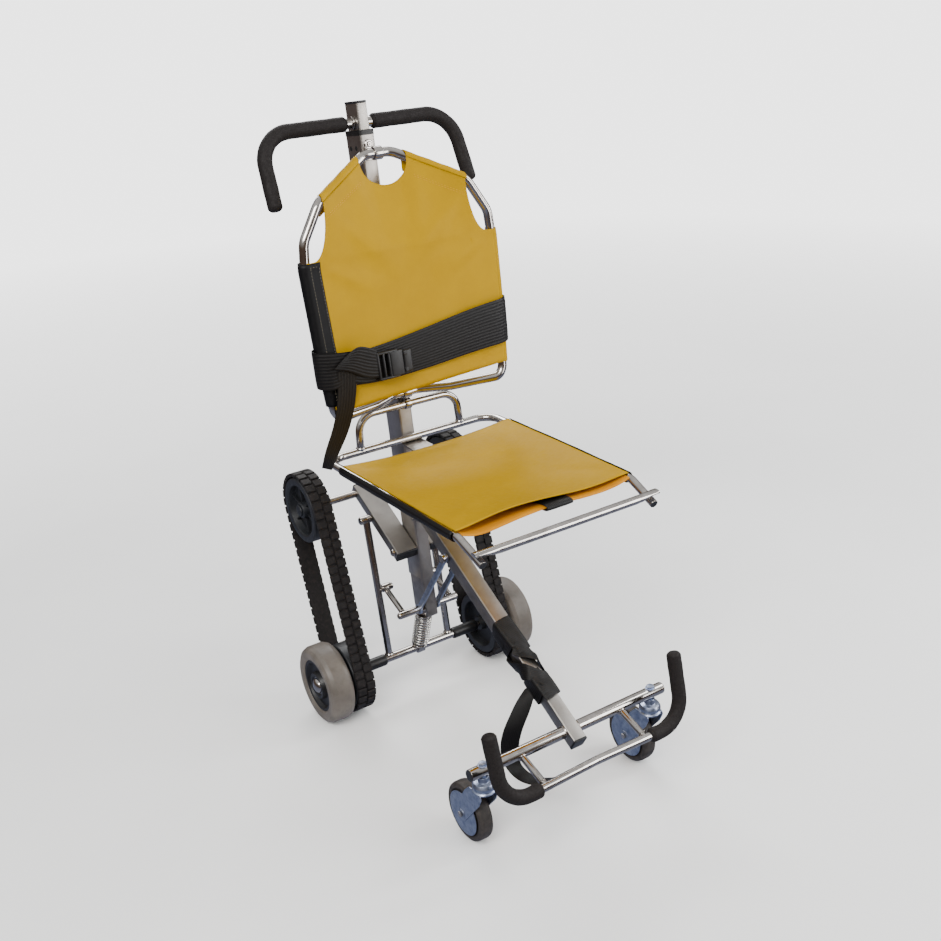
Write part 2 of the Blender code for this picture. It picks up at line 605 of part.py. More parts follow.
# ---- front leg, brace and lock arms ---------------------------------------------------------------
def make_leg():
    """The leg's upper tube, its forked bracket on the mast with the hinge pin, and the brace's pin."""
    leg = frame_along(LEG_HINGE, LEG_DIRECTION)
    tube = rect_tube_mesh("leg", (LEG_SIZE, LEG_SIZE), LEG_START, LEG_END, leg, LEG_WALL)
    outer = put("leg_outer_tube", tube, SATIN, LEG_HINGE)
    cross_cut(outer, LEG_HINGE, PIN_RADIUS + GAP)
    cross_cut(outer, BRACE_PIN, PIN_RADIUS + GAP)
    face = -MAST_SIZE[1] / 2 - GAP
    ear_in, ear_out = LEG_SIZE / 2 + 1 * MM, LEG_SIZE / 2 + 5 * MM
    base = box_mesh("base", (-ear_out, face - 3 * MM, 445 * MM), (ear_out, face, 505 * MM), mast_matrix())
    bracket = put("leg_hinge_bracket", base, SATIN)
    local = mast_matrix().inverted() @ LEG_HINGE
    for _, sign in SIDES:
        x = sorted((sign * ear_in, sign * ear_out))
        ear = [(face - 1.5 * MM, local.z - 22 * MM), (face - 1.5 * MM, local.z + 22 * MM)]
        ear += arc((local.y, local.z), 13 * MM, 80, 280, 8)
        join(bracket, plate_mesh("ear", ear, x[0], x[1], matrix=mast_matrix()))
    join(bracket, bar_mesh("pin", LEG_HINGE, 26 * MM, PIN_RADIUS, 14))
    put("brace_pin", bar_mesh("pin", BRACE_PIN, 34 * MM, PIN_RADIUS, 14), STAINLESS, BRACE_PIN)


def make_foot_leg():
    """The leg's lower tube, which slides in the upper one, and the block of webbing wound round it."""
    leg = frame_along(LEG_HINGE, LEG_DIRECTION)
    end = (FOOT_TUBE - LEG_HINGE).length + 28 * MM
    size = (LEG_INNER_SIZE, LEG_INNER_SIZE)
    tube = rect_tube_mesh("inner", size, LEG_INNER_START, end, leg, LEG_INNER_WALL)
    inner = put("leg_inner_tube", tube, SATIN, LEG_HINGE)
    cross_cut(inner, FOOT_TUBE, FOOT_TUBE_RADIUS + GAP, segments=16)
    half = LEG_SIZE / 2 + 1.5 * MM
    thick = half - LEG_INNER_SIZE / 2 - 0.4 * MM
    wrap = rect_tube_mesh("wrap", (2 * half, 2 * half), WRAP_START, WRAP_END, leg, thick)
    put("leg_strap_wrap", wrap, WEBBING, LEG_HINGE)


TAIL_ROUTE = (
    (-26, -478, 205), (-66, -472, 150), (-78, -478, 106), (-66, -500, 62), (-52, -545, 64), (-44, -600, 96),
)


def make_strap_tail():
    """The loose end of the leg strap: a flat band that hangs from the wrap and loops forward."""
    width, thick = 19 * MM, 1.4 * MM
    route = rounded([Vector(p) * MM for p in TAIL_ROUTE], 30 * MM, steps=2)
    bm = bmesh.new()
    rings = []
    for i, place in enumerate(route):
        ahead = (route[min(i + 1, len(route) - 1)] - route[max(i - 1, 0)]).normalized()
        across = Vector((0.72, 0.69, 0))
        across = (across - ahead * across.dot(ahead)).normalized()
        out = ahead.cross(across)
        corners = [across * width + out * thick, across * width - out * thick]
        corners += [-across * width - out * thick, -across * width + out * thick]
        rings.append([bm.verts.new(place + c) for c in corners])
    for a, b in zip(rings, rings[1:]):
        for k in range(4):
            bm.faces.new((a[k], a[(k + 1) % 4], b[(k + 1) % 4], b[k]))
    bm.faces.new(rings[0])
    bm.faces.new(rings[-1])
    put("leg_strap_tail", mesh_from(bm, "tail"), WEBBING, LEG_HINGE)


def make_brace():
    """Two flat links from the leg's pin to the cross rod in the mast's foot."""
    angle = math.degrees(math.atan2(CROSS_ROD.z - BRACE_PIN.z, CROSS_ROD.y - BRACE_PIN.y))
    pin, rod = (BRACE_PIN.y, BRACE_PIN.z), (CROSS_ROD.y, CROSS_ROD.z)
    outline = arc(pin, LINK_RADIUS, angle + 90, angle + 270, 8)
    outline += arc(rod, LINK_RADIUS + 2.5 * MM, angle - 90, angle + 90, 8)
    holes = (circle(pin, PIN_RADIUS + GAP), circle(rod, TUBE_RADIUS + GAP))
    for side, sign in SIDES:
        x = sorted(sign * edge for edge in LINK_X)
        put(f"brace_link_{side}", plate_mesh("link", outline, x[0], x[1], holes), ZINC, BRACE_PIN)
    put("cross_rod", bar_mesh("rod", CROSS_ROD, 79 * MM, TUBE_RADIUS), STAINLESS, BRACE_PIN)


def make_lock_arms():
    """Short arms on sleeves beside the side tubes; their tips stop at the cross rod's rear side."""
    reach = (CROSS_ROD - LOCK_ARM_PIVOT).normalized()
    for side, sign in SIDES:
        centre = Vector((sign * LOCK_ARM_X, LOCK_ARM_PIVOT.y, LOCK_ARM_PIVOT.z))
        tip = Vector((sign * LOCK_ARM_X, CROSS_ROD.y, CROSS_ROD.z)) - reach * (TUBE_RADIUS + 0.8 * MM)
        start, end = centre.copy(), centre.copy()
        start.x, end.x = sign * 49 * MM, sign * 70.5 * MM
        arm = put(f"lock_arm_{side}", rod_mesh("sleeve", start, end, 9 * MM, 16), STAINLESS, LOCK_ARM_PIVOT)
        join(arm, rod_mesh("stem", centre + reach * 2 * MM, tip, LOCK_STEM_RADIUS, 12))
        cross_cut(arm, LOCK_ARM_PIVOT, BOLT_RADIUS + GAP, half=90 * MM)


# ---- foot frame and casters -----------------------------------------------------------------------
def make_foot_frame():
    """The cross tube, two short tubes forward and the front rail that bends up into a grip at each end."""
    cross = bar_mesh("cross", FOOT_TUBE, FOOT_TUBE_HALF, FOOT_TUBE_RADIUS)
    frame = put("foot_frame", cross, STAINLESS, LEG_HINGE)
    for _, sign in SIDES:
        side = Vector((sign * FOOT_STUB_X, 0, 0))
        join(frame, rod_mesh("stub", FOOT_TUBE + side, FOOT_RAIL + side, FOOT_STUB_RADIUS, 10))
    tip, bend = Vector((-218, -627, 305)) * MM, Vector((-214, -664, 163)) * MM
    route = rounded(mirrored([tip, bend, FOOT_RAIL]), FOOT_RAIL_BEND, steps=5)
    join(frame, tube_mesh("rail", shortened(route), FOOT_RAIL_RADIUS))
    for _, sign in SIDES:
        low, high = 150 * MM, 230 * MM
        hole = post_mesh("hole", sign * CASTER_X, CASTER_Y, low, high, BOLT_RADIUS + 0.4 * MM, 14)
        cut(frame, hole)
    make_grips("foot_grip", route, FOOT_RAIL_RADIUS, FOOT_GRIP_X, LEG_HINGE)


def make_casters():
    """Swivel casters: a cup with its stem bolted through the cross tube, a fork and a wheel."""
    top = FOOT_TUBE.z + FOOT_TUBE_RADIUS
    for side, sign in SIDES:
        x, y = sign * CASTER_X, CASTER_Y
        pivot = Vector((x, y, 148 * MM))
        mount = put(f"caster_mount_{side}", post_mesh("cup", x, y, *CUP_Z, 22 * MM), ZINC, LEG_HINGE)
        join(mount, post_mesh("collar", x, y, CUP_Z[1] - 1 * MM, 176 * MM, 10 * MM, 12))
        join(mount, post_mesh("stem", x, y, 172 * MM, top + 2 * MM, BOLT_RADIUS, 10))
        join(mount, post_mesh("head", x, y, top + 0.8 * MM, top + 8 * MM, 8 * MM, 10, 4 * MM))
        make_fork(side, x, pivot)
        make_caster_wheel(side, x, pivot)


def make_fork(side, x, pivot):
    """A caster fork: a round crown, two cheeks that trail down to the wheel, and the axle between them."""
    axle = (CASTER_Y + CASTER_TRAIL, CASTER_RADIUS)
    crown = post_mesh("crown", x, CASTER_Y, *CROWN_Z, 23 * MM)
    fork = put(f"caster_fork_{side}", crown, ZINC, pivot)
    inner = CASTER_WIDTH / 2 + 2 * MM
    outline = [(CASTER_Y - 14 * MM, 147 * MM), (CASTER_Y - 12 * MM, 128 * MM)]
    outline += arc(axle, 13 * MM, 215, 400, 6)
    outline += [(CASTER_Y + 26 * MM, 132 * MM), (CASTER_Y + 15 * MM, 147 * MM)]
    for _, sign in SIDES:
        faces = sorted((x + sign * inner, x + sign * (inner + 3 * MM)))
        join(fork, plate_mesh("cheek", outline, faces[0], faces[1]))
    join(fork, bar_mesh("axle", (x, *axle), inner + 7 * MM, BOLT_RADIUS, 10))


def make_caster_wheel(side, x, pivot):
    r, w = CASTER_RADIUS, CASTER_WIDTH / 2
    bore, edge, shoulder = BOLT_RADIUS + GAP, 5 * MM, 6 * MM
    profile = [(bore, w), (r - edge, w), (r, w - shoulder)]
    profile += [(r, shoulder - w), (r - edge, -w), (bore, -w), (bore, w)]
    centre = Vector((x, CASTER_Y + CASTER_TRAIL, CASTER_RADIUS))
    put(f"caster_wheel_{side}", turned_mesh("wheel", profile, centre, 28), GREY_RUBBER, centre)


# ---- rear axle, wheels and tracks -----------------------------------------------------------------
def make_rear_axle():
    """The axle tube, and the axle through it with a dome at each end."""
    tube = put("axle_tube", bar_mesh("tube", AXLE, AXLE_TUBE_HALF, AXLE_TUBE_RADIUS), STAINLESS)
    cross_cut(tube, AXLE, AXLE_ROD_RADIUS + GAP, half=200 * MM)
    rod = put("rear_axle", bar_mesh("rod", AXLE, AXLE_ROD_HALF, AXLE_ROD_RADIUS), STAINLESS)
    for _, sign in SIDES:
        start = AXLE + Vector((sign * (AXLE_ROD_HALF - 1 * MM), 0, 0))
        end = AXLE + Vector((sign * (AXLE_ROD_HALF + 11 * MM), 0, 0))
        join(rod, rod_mesh("dome", start, end, 18 * MM, 16, 8 * MM))


def on_side(profile, sign):
    """A profile drawn for the right side, turned over for the left."""
    return profile if sign > 0 else [(radius, -x) for radius, x in reversed(profile)]


def make_rear_wheels():
    """Solid wheels with rounded shoulders and a hub recess on the outer face."""
    r, low, high = WHEEL_RADIUS, WHEEL_INNER_X, WHEEL_OUTER_X
    bore, floor = AXLE_ROD_RADIUS + GAP, WHEEL_OUTER_X - HUB_RECESS_DEPTH
    shoulder, edge, chamfer, crown = TYRE_SHOULDER, TYRE_EDGE, TYRE_CHAMFER, 18 * MM
    profile = [(bore, floor), (HUB_RECESS_RADIUS, floor), (HUB_RECESS_RADIUS + 3 * MM, high)]
    profile += [(r - shoulder, high), (r - edge, high - chamfer), (r, high - crown)]
    profile += [(r, low + crown), (r - edge, low + chamfer), (r - shoulder, low)]
    profile += [(bore, low), (bore, floor)]
    for side, sign in SIDES:
        wheel = turned_mesh("wheel", on_side(profile, sign), AXLE, 28)
        put(f"rear_wheel_{side}", wheel, GREY_RUBBER, AXLE)


def make_pulleys():
    """Belt pulleys with a recessed web: the lower pair on the axle, the upper pair on the cross tube."""
    outer = BELT_RADIUS - BELT_THICKNESS - 4 * GAP
    low, high = BELT_INNER_X + 1 * MM, BELT_OUTER_X - 1 * MM
    hub, rim = PULLEY_RECESS
    floor = high - PULLEY_RECESS_DEPTH
    for level, centre, shaft in (("lower", AXLE, AXLE_ROD_RADIUS), ("upper", TRACK_TOP, TUBE_RADIUS)):
        bore = shaft + GAP
        profile = [(bore, high), (hub, high), (hub, floor), (rim, floor), (rim, high)]
        profile += [(outer, high), (outer, low), (bore, low), (bore, high)]
        for side, sign in SIDES:
            pulley = turned_mesh("pulley", on_side(profile, sign), centre, 24)
            put(f"{level}_pulley_{side}", pulley, BLACK_PLASTIC, centre)


def belt_loop(radius):
    """Outline round both pulley centres: two half circles joined by straight runs."""
    lean = math.degrees(math.atan2(TRACK_TOP.z - AXLE.z, TRACK_TOP.y - AXLE.y))
    upper = arc((TRACK_TOP.y, TRACK_TOP.z), radius, lean - 90, lean + 90, 12)
    lower = arc((AXLE.y, AXLE.z), radius, lean + 90, lean + 270, 12)
    return upper + lower


def make_belts():
    for side, sign in SIDES:
        x = sorted((sign * BELT_INNER_X, sign * BELT_OUTER_X))
        inner, outer = belt_loop(BELT_RADIUS - BELT_THICKNESS), belt_loop(BELT_RADIUS)
        put(f"track_belt_{side}", plate_mesh("belt", outer, x[0], x[1], (inner,)), BLACK_RUBBER)


def make_track_arms():
    """Rectangular arms on both sides of the mast, from its front face back to the upper cross tube."""
    along = TRACK_TOP - TRACK_ARM_FRONT
    for side, sign in SIDES:
        local = frame_along(TRACK_ARM_FRONT + Vector((sign * TRACK_ARM_X, 0, 0)), along)
        end = along.length + TRACK_ARM_OVERHANG
        tube = rect_tube_mesh("arm", TRACK_ARM_SIZE, 0, end, local, TRACK_ARM_WALL)
        arm = put(f"track_arm_{side}", tube, SATIN)
        cross_cut(arm, TRACK_TOP, TUBE_RADIUS + GAP, half=90 * MM)
        cross_cut(arm, TRACK_BOLT, BOLT_RADIUS + GAP, half=90 * MM)
    put("track_arm_bolt", bar_mesh("bolt", TRACK_BOLT, 73 * MM, BOLT_RADIUS, 14), STAINLESS)
    put("upper_cross_tube", bar_mesh("tube", TRACK_TOP, 211 * MM, TUBE_RADIUS), STAINLESS)


def make_side_tubes():
    """Each side tube runs from a stub on its track arm to the axle tube; a pin carries the lock arm."""
    down = (AXLE - SIDE_STUB).normalized()
    for side, sign in SIDES:
        x = sign * SIDE_TUBE_X
        top = Vector((x, SIDE_STUB.y, SIDE_STUB.z))
        bottom = Vector((x, AXLE.y, AXLE.z)) - down * (AXLE_TUBE_RADIUS + GAP + 0.4 * MM)
        tube = put(f"side_tube_{side}", rod_mesh("tube", top, bottom, TUBE_RADIUS, 16), STAINLESS)
        outer = TRACK_ARM_X + TRACK_ARM_SIZE[0] / 2 + GAP
        join(tube, side_rod("stub", SIDE_STUB, sign, outer, 97 * MM, 9 * MM, 16))
        join(tube, side_rod("pin", LOCK_ARM_PIVOT, sign, SIDE_TUBE_X, 47 * MM, BOLT_RADIUS, 14))
        join(tube, side_rod("head", LOCK_ARM_PIVOT, sign, 48.5 * MM, 42 * MM, 8 * MM, 14, BOLT_RADIUS))


def side_rod(name, place, sign, start, end, radius, segments, end_radius=None):
    """A rod along X through a place, between two distances out to one side."""
    first, last = (sign * start, place.y, place.z), (sign * end, place.y, place.z)
    return rod_mesh(name, first, last, radius, segments, end_radius)


def make_spring():
    """A compression spring on a guide rod between the mast's foot and a saddle on the axle tube."""
    top = on_mast(12 * MM, FOOT_START - GAP)
    along = (AXLE - top).normalized()
    local = frame_along(top, along)
    length = (AXLE - top).length
    per_turn = 9
    steps = SPRING_TURNS * per_turn
    start, end = 13 * MM, length - 20 * MM
    points = []
    for i in range(steps + 1):
        angle = 2 * math.pi * i / per_turn
        reach = (SPRING_RADIUS * math.cos(angle), SPRING_RADIUS * math.sin(angle))
        points.append(local @ Vector((*reach, start + (end - start) * i / steps)))
    put("suspension_spring", tube_mesh("spring", points, SPRING_WIRE, resolution=0), SPRING_STEEL)

    def length_of_rod(name, low, high, radius, segments=16):
        return rod_mesh(name, local @ Vector((0, 0, low)), local @ Vector((0, 0, high)), radius, segments)

    guide = put("spring_guide", length_of_rod("rod", 2 * MM, length - 12 * MM, PIN_RADIUS, 10), STAINLESS)
    join(guide, length_of_rod("cap", 6.5 * MM, 10.5 * MM, 17 * MM))
    join(guide, length_of_rod("seat", length - 16.5 * MM, length - 12.5 * MM, 19 * MM))
    join(guide, bar_mesh("clamp", AXLE, 9 * MM, 14 * MM))
    cross_cut(guide, AXLE, AXLE_TUBE_RADIUS + GAP, segments=16)


HANDLE = on_mast(0, HANDLE_HEIGHT / math.cos(MAST_LEAN))
TRACK_BOLT = TRACK_ARM_FRONT + (TRACK_TOP - TRACK_ARM_FRONT).normalized() * TRACK_BOLT_INSET

make_mast()
make_mast_foot()
make_lock_button()
make_handle()
make_backrest()
make_cover()
make_lap_belt()
make_seat()
make_seat_sling()
make_seat_saddle()
make_leg()
make_foot_leg()
make_strap_tail()
make_brace()
make_lock_arms()
make_foot_frame()
make_casters()
make_rear_axle()
make_rear_wheels()
make_pulleys()
make_belts()
make_track_arms()
make_side_tubes()
make_spring()
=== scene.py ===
"""Looks of a folding stair chair: slings, webbing, tubes, wheels and belts, built round its packed frame.

The file is laid out as an add-on and run as a script. Each piece is a surface worked out with numpy, in
metres and in the frame's own axes: +X to the right seen from the front, -Y the way the chair faces, +Z up.
"""

import math

import bmesh
import bpy
import numpy as np
from mathutils import Matrix, Vector


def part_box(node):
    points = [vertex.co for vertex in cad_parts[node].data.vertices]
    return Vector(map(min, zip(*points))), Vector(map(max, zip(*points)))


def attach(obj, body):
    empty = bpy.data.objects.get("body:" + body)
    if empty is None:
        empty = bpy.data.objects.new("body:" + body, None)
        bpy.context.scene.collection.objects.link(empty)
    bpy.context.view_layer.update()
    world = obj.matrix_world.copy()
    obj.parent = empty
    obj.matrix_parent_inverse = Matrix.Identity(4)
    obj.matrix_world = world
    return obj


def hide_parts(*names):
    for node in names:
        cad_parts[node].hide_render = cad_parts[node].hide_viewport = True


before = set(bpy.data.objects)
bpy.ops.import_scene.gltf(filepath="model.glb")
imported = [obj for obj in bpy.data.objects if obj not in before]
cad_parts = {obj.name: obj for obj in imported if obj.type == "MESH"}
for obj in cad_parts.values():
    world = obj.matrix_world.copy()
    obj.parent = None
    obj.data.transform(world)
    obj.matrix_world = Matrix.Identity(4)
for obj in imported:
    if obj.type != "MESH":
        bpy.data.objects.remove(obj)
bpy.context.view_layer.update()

bl_info = {
    "name": "Stair Chair Looks",
    "version": (1, 0, 0),
    "blender": (4, 5, 0),
    "location": "3D View > Sidebar > Stair Chair",
    "description": "Builds the slings, webbing, tubes, wheels and belts of a folding stair chair",
    "category": "Add Mesh",
}

MM = 0.001
SIDES = (("left", -1.0), ("right", 1.0))
ACROSS = np.array((1.0, 0.0, 0.0))
SHARP_ANGLE = 36.0
HAIR_HOLE = 0.4

# Box tubes: width, depth, corner radius and wall, in millimetres.
MAST_SECTION = (32, 62, 4, 2.5)
SLIDER_SECTION = (23, 50, 3, 2.2)
BUSH_SECTION = (33.5, 63.5, 5, 4.4)
LEG_SECTION = (36, 36, 3.5, 2.5)
LEG_SLIDER_SECTION = (30, 30, 3, 2.2)
TRACK_ARM_SECTION = (50, 24, 2.5, 2.2)

# Round tubes and sleeves: radius in metres.
BACK_TUBE = 9.5 * MM
PUSH_BAR = 9.5 * MM
SEAT_TUBE = 8 * MM
AXLE_TUBE = 9.5 * MM
SIDE_TUBE = 8 * MM
CROSS_BAR = 8 * MM
FOOT_CROSS_TUBE = 12 * MM
FOOT_RAIL = 8.5 * MM
FOOT_STRUT = 7 * MM
FOAM = 14.5 * MM

# Places in millimetres: x of the side tubes, tracks and casters, and depth and height of the caster's parts.
SIDE_TUBE_X = 80
TRACK_X = 185
TRACK_ARM_X = 41.5
BELT_LINE = 80 * MM
CASTER_X = 203
CASTER_STEM_Y = -579
CASTER_AXLE = (-525, 61)
FOOT_STRUT_X = 120
LOCK_BUTTON = (0, -31, 1229)


# ---- places, from the frame ----------------------------------------------------------------------
def mm(*values):
    """Millimetres as a vector in metres."""
    return np.array(values, float) * MM


def box_middle(node):
    low, high = (np.array(corner, float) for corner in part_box(node))
    return (low + high) / 2


AXLE_OFFSET = box_middle("axle_tube") * (0, 1, 0)


def middle(node):
    """Centre of a CAD node's box, from the point on the ground under the rear axle."""
    return box_middle(node) - AXLE_OFFSET


MAST_LEAN = math.radians(6.6)
MAST_UP = np.array((0, math.sin(MAST_LEAN), math.cos(MAST_LEAN)))
MAST_BACK = np.array((0, math.cos(MAST_LEAN), -math.sin(MAST_LEAN)))
MAST_FOOT = mm(0, -72.2, 0)
AXLE = middle("axle_tube")
TRACK_TOP = middle("upper_cross_tube")
LEG_PIN = mm(0, -75.6, 473)
BRACE_PIN = middle("brace_pin")
CROSS_ROD = middle("cross_rod")
LEG_ALONG = (BRACE_PIN - LEG_PIN) / np.linalg.norm(BRACE_PIN - LEG_PIN)
LEG_OUT = np.cross(LEG_ALONG, ACROSS)
LOCK_PIVOT = mm(0, 26, 258)
FOOT_TUBE = mm(0, -578, 189)
HANDLE_PIVOT = MAST_FOOT + MAST_UP * (1262 * MM / math.cos(MAST_LEAN))


def on_mast(x, back, up):
    """A point in the mast's own directions, in millimetres from its foot on the ground."""
    return MAST_FOOT + ACROSS * x * MM + MAST_BACK * back * MM + MAST_UP * up * MM


def on_leg(x, out, along):
    """A point in the leg's own directions, in millimetres from its hinge."""
    return LEG_PIN + ACROSS * x * MM + LEG_OUT * out * MM + LEG_ALONG * along * MM


# ---- surfaces ------------------------------------------------------------------------------------
def unit(vectors):
    return vectors / np.maximum(np.linalg.norm(vectors, axis=-1, keepdims=True), 1e-12)


def rounded(corners, radius, closed=False, turn_step=5.0):
    """Runs joined by arcs: an arc touches both runs at radius / tan(half the corner's angle) from the
    corner.
    """
    corners = np.asarray(corners, float)
    count = len(corners)
    made = []
    for i, corner in enumerate(corners):
        back = corners[i - 1] - corner
        ahead = corners[(i + 1) % count] - corner
        long_back, long_ahead = np.linalg.norm(back), np.linalg.norm(ahead)
        back, ahead = back / max(long_back, 1e-12), ahead / max(long_ahead, 1e-12)
        half = math.acos(np.clip(back @ ahead, -1, 1)) / 2
        if (not closed and i in (0, count - 1)) or half > math.radians(89.7):
            made.append(corner[None])
            continue
        reach = min(radius / math.tan(half), 0.49 * long_back, 0.49 * long_ahead)
        centre = corner + unit(back + ahead) * reach / math.cos(half)
        start, end = corner + back * reach - centre, corner + ahead * reach - centre
        turn = math.pi - 2 * half
        share = np.linspace(0, 1, max(2, math.ceil(math.degrees(turn) / turn_step)) + 1)[:, None]
        made.append(
            centre + (np.sin((1 - share) * turn) * start + np.sin(share * turn) * end) / math.sin(turn)
        )
    return np.concatenate(made)


def mirrored(half):
    """A route from the left end to the middle, continued to the right."""
    half = np.asarray(half, float)
    other = half[::-1] * (-1, 1, 1)
    return np.concatenate((half, other[1:] if abs(half[-1, 0]) < 1e-9 else other))


def spaced(route, gap, closed=False):
    """The route with points a given gap apart along its length."""
    route = np.asarray(route, float)
    whole = np.vstack((route, route[:1])) if closed else route
    length = np.concatenate(((0,), np.cumsum(np.linalg.norm(np.diff(whole, axis=0), axis=1))))
    count = max(2, math.ceil(length[-1] / gap) + 1)
    at = np.linspace(0, length[-1], count)
    made = np.stack([np.interp(at, length, whole[:, k]) for k in range(3)], axis=1)
    return made[:-1] if closed else made


def axes_along(route, closed, over):
    """Tangent from the neighbours; over is the wanted direction less its part along the tangent; side is
    their cross.
    """
    ahead = unit(np.roll(route, -1, 0) - route)
    back = unit(route - np.roll(route, 1, 0))
    if not closed:
        ahead[-1], back[0] = back[-1], ahead[0]
    tangent = unit(ahead + back)
    if over is None:
        over = np.linalg.svd(route - route.mean(0))[2][2]
    over = np.broadcast_to(np.asarray(over, float), route.shape)
    over = unit(over - (tangent * over).sum(1, keepdims=True) * tangent)
    return tangent, np.cross(over, tangent), over


def grid(points, wrap_u=False, wrap_v=False, caps=False):
    """(points, faces, corner coordinates) of a surface on a grid of points; coordinates are lengths in
    metres.
    """
    n, m = points.shape[:2]
    rows, cols = np.arange(n if wrap_v else n - 1), np.arange(m if wrap_u else m - 1)
    i, j = (a.ravel() for a in np.meshgrid(rows, cols, indexing="ij"))
    i1, j1 = (i + 1) % n, (j + 1) % m
    faces = np.stack((i * m + j, i * m + j1, i1 * m + j1, i1 * m + j), axis=1)
    u_step = np.linalg.norm(np.roll(points, -1, 1) - points, axis=2).max(0)
    v_step = np.linalg.norm(np.roll(points, -1, 0) - points, axis=2).max(1)
    u, v = np.concatenate(((0,), np.cumsum(u_step))), np.concatenate(((0,), np.cumsum(v_step)))
    uv = np.stack(
        (np.stack((u[j], u[j + 1], u[j + 1], u[j]), 1), np.stack((v[i], v[i], v[i + 1], v[i + 1]), 1)), 2
    )
    faces, uv = faces.tolist(), list(uv)
    if caps:
        flat = np.zeros((m, 2))
        faces += [list(range(m)), list(range((n - 1) * m, n * m))]
        uv += [flat, flat]
    return points.reshape(-1, 3), faces, uv


def circle(radius, sides=32):
    turn = np.arange(sides) * 2 * math.pi / sides
    return np.stack((np.cos(turn), np.sin(turn)), 1) * radius


def rounded_rectangle(width, height, radius, step=15.0):
    w, h = width / 2, height / 2
    corners = np.array(((-w, -h, 0), (w, -h, 0), (w, h, 0), (-w, h, 0)))
    return rounded(corners, radius, closed=True, turn_step=step)[:, :2]


def swept(route, ring, closed=False, over=None, rim=0.0, sizes=None):
    """The ring carried along the route: route + ring x * side + ring y * over. Open ends roll over by the
    rim.
    """
    route = np.asarray(route, float)
    sizes = np.ones((len(route), 2)) if sizes is None else np.asarray(sizes, float)
    span = np.ptp(ring, axis=0)
    tangent, side, up = axes_along(route, closed, over)
    if rim and not closed:
        turn = np.linspace(math.pi / 2, 0, 5)[:, None]
        inset = rim * (1 - np.sin(turn))
        less = np.clip(1 - 2 * rim * (1 - np.cos(turn)) / span, 0.02, 1)
        first = route[0] + tangent[0] * inset
        last = (route[-1] - tangent[-1] * inset)[::-1]
        route = np.concatenate((first, route[1:-1], last))
        sizes = np.concatenate((less * sizes[0], sizes[1:-1], less[::-1] * sizes[-1]))
        side = np.concatenate((np.repeat(side[:1], 5, 0), side[1:-1], np.repeat(side[-1:], 5, 0)))
        up = np.concatenate((np.repeat(up[:1], 5, 0), up[1:-1], np.repeat(up[-1:], 5, 0)))
    ring = ring[None] * sizes[:, None]
    points = route[:, None] + ring[..., :1] * side[:, None] + ring[..., 1:] * up[:, None]
    return grid(points, wrap_u=True, wrap_v=closed, caps=not closed)


def tube(route, radius, closed=False, sides=32, rim=0.8 * MM, over=None):
    return swept(route, circle(radius, sides), closed, over, 0 if closed else rim)


def block(start, end, width, height, over, radius=1.0 * MM, rim=None):
    """A bar of rounded rectangular section between two points; its height lies along over."""
    ring = rounded_rectangle(width, height, radius)
    return swept(np.array((start, end)), ring, over=over, rim=radius if rim is None else rim)


def turned(profile, centre, axis=ACROSS, steps=72, soften=0.8):
    """A closed outline of (radius, distance along the axis) in millimetres, its corners eased, turned about
    the axis.
    """
    outline = np.array([(r, h, 0) for r, h in profile], float)
    outline = rounded(outline, soften, closed=True, turn_step=22)[:, :2] * MM
    axis = unit(np.asarray(axis, float))
    first = unit(np.cross(axis, (0.13, 0.31, 0.94)))
    second = np.cross(axis, first)
    turn = (np.arange(steps) * 2 * math.pi / steps)[None, :, None]
    around = np.cos(turn) * first + np.sin(turn) * second
    points = centre + outline[:, None, 1:] * axis + outline[:, None, :1] * around
    return grid(points, wrap_u=True, wrap_v=True)


def disc(radius, low, high, centre, axis=ACROSS, steps=48, soften=0.8):
    """A solid turned disc; a hair-thin axial hole keeps its outline closed."""
    outline = ((HAIR_HOLE, high), (radius, high), (radius, low), (HAIR_HOLE, low))
    return turned(outline, centre, axis, steps, soften)


def dome(radius, height, centre, axis):
    """A turned cap whose height falls from the middle as the square root of 1 - (r / radius) squared."""
    share = np.linspace(0.02, 1, 12)
    outline = [(radius * s, height * math.sqrt(max(0.0, 1 - s * s))) for s in share]
    outline += [(radius, -1.0), (radius * 0.02, -1.0)]
    return turned(outline, centre, axis, 48, soften=0.01)


def pipe(route, ring_out, ring_in, over, rim=0.4 * MM):
    """An open-ended hollow bar: up the outer skin and back down the inner one."""
    tangent, side, up = axes_along(np.asarray(route, float), False, over)

    def skin(ring, order):
        spots = np.asarray(route)[order][:, None]
        return spots + ring[None, :, :1] * side[order][:, None] + ring[None, :, 1:] * up[order][:, None]

    forward = np.arange(len(route))
    outer, inner = skin(ring_out, forward), skin(ring_in, forward[::-1])
    middle_ring = (ring_out + ring_in) / 2
    lip_end = skin(middle_ring, forward[-1:]) + tangent[-1] * rim
    lip_start = skin(middle_ring, forward[:1]) - tangent[0] * rim
    return grid(np.concatenate((outer, lip_end, inner, lip_start)), wrap_u=True, wrap_v=True)


def make(name, parts, finish_name, body, replaces=(), sharp=SHARP_ANGLE, closed=True):
    """Joins parts of (points, faces, corner coordinates) into one piece, its faces turned outwards."""
    parts = parts if isinstance(parts, list) else [parts]
    points, faces, uv, start = [], [], [], 0
    for some, these, coordinates in parts:
        points.append(some)
        faces += [[index + start for index in face] for face in these]
        uv += [np.asarray(c) for c in coordinates]
        start += len(some)
    mesh = bpy.data.meshes.new(name)
    mesh.from_pydata((np.concatenate(points) + AXLE_OFFSET).tolist(), [], faces)
    layer = mesh.uv_layers.new(name="UVMap")
    layer.data.foreach_set("uv", np.concatenate(uv).astype(np.float32).ravel())
    if closed:
        shell = bmesh.new()
        shell.from_mesh(mesh)
        bmesh.ops.recalc_face_normals(shell, faces=shell.faces)
        shell.to_mesh(mesh)
        shell.free()
    return placed(name, mesh, finish_name, body, replaces, sharp)


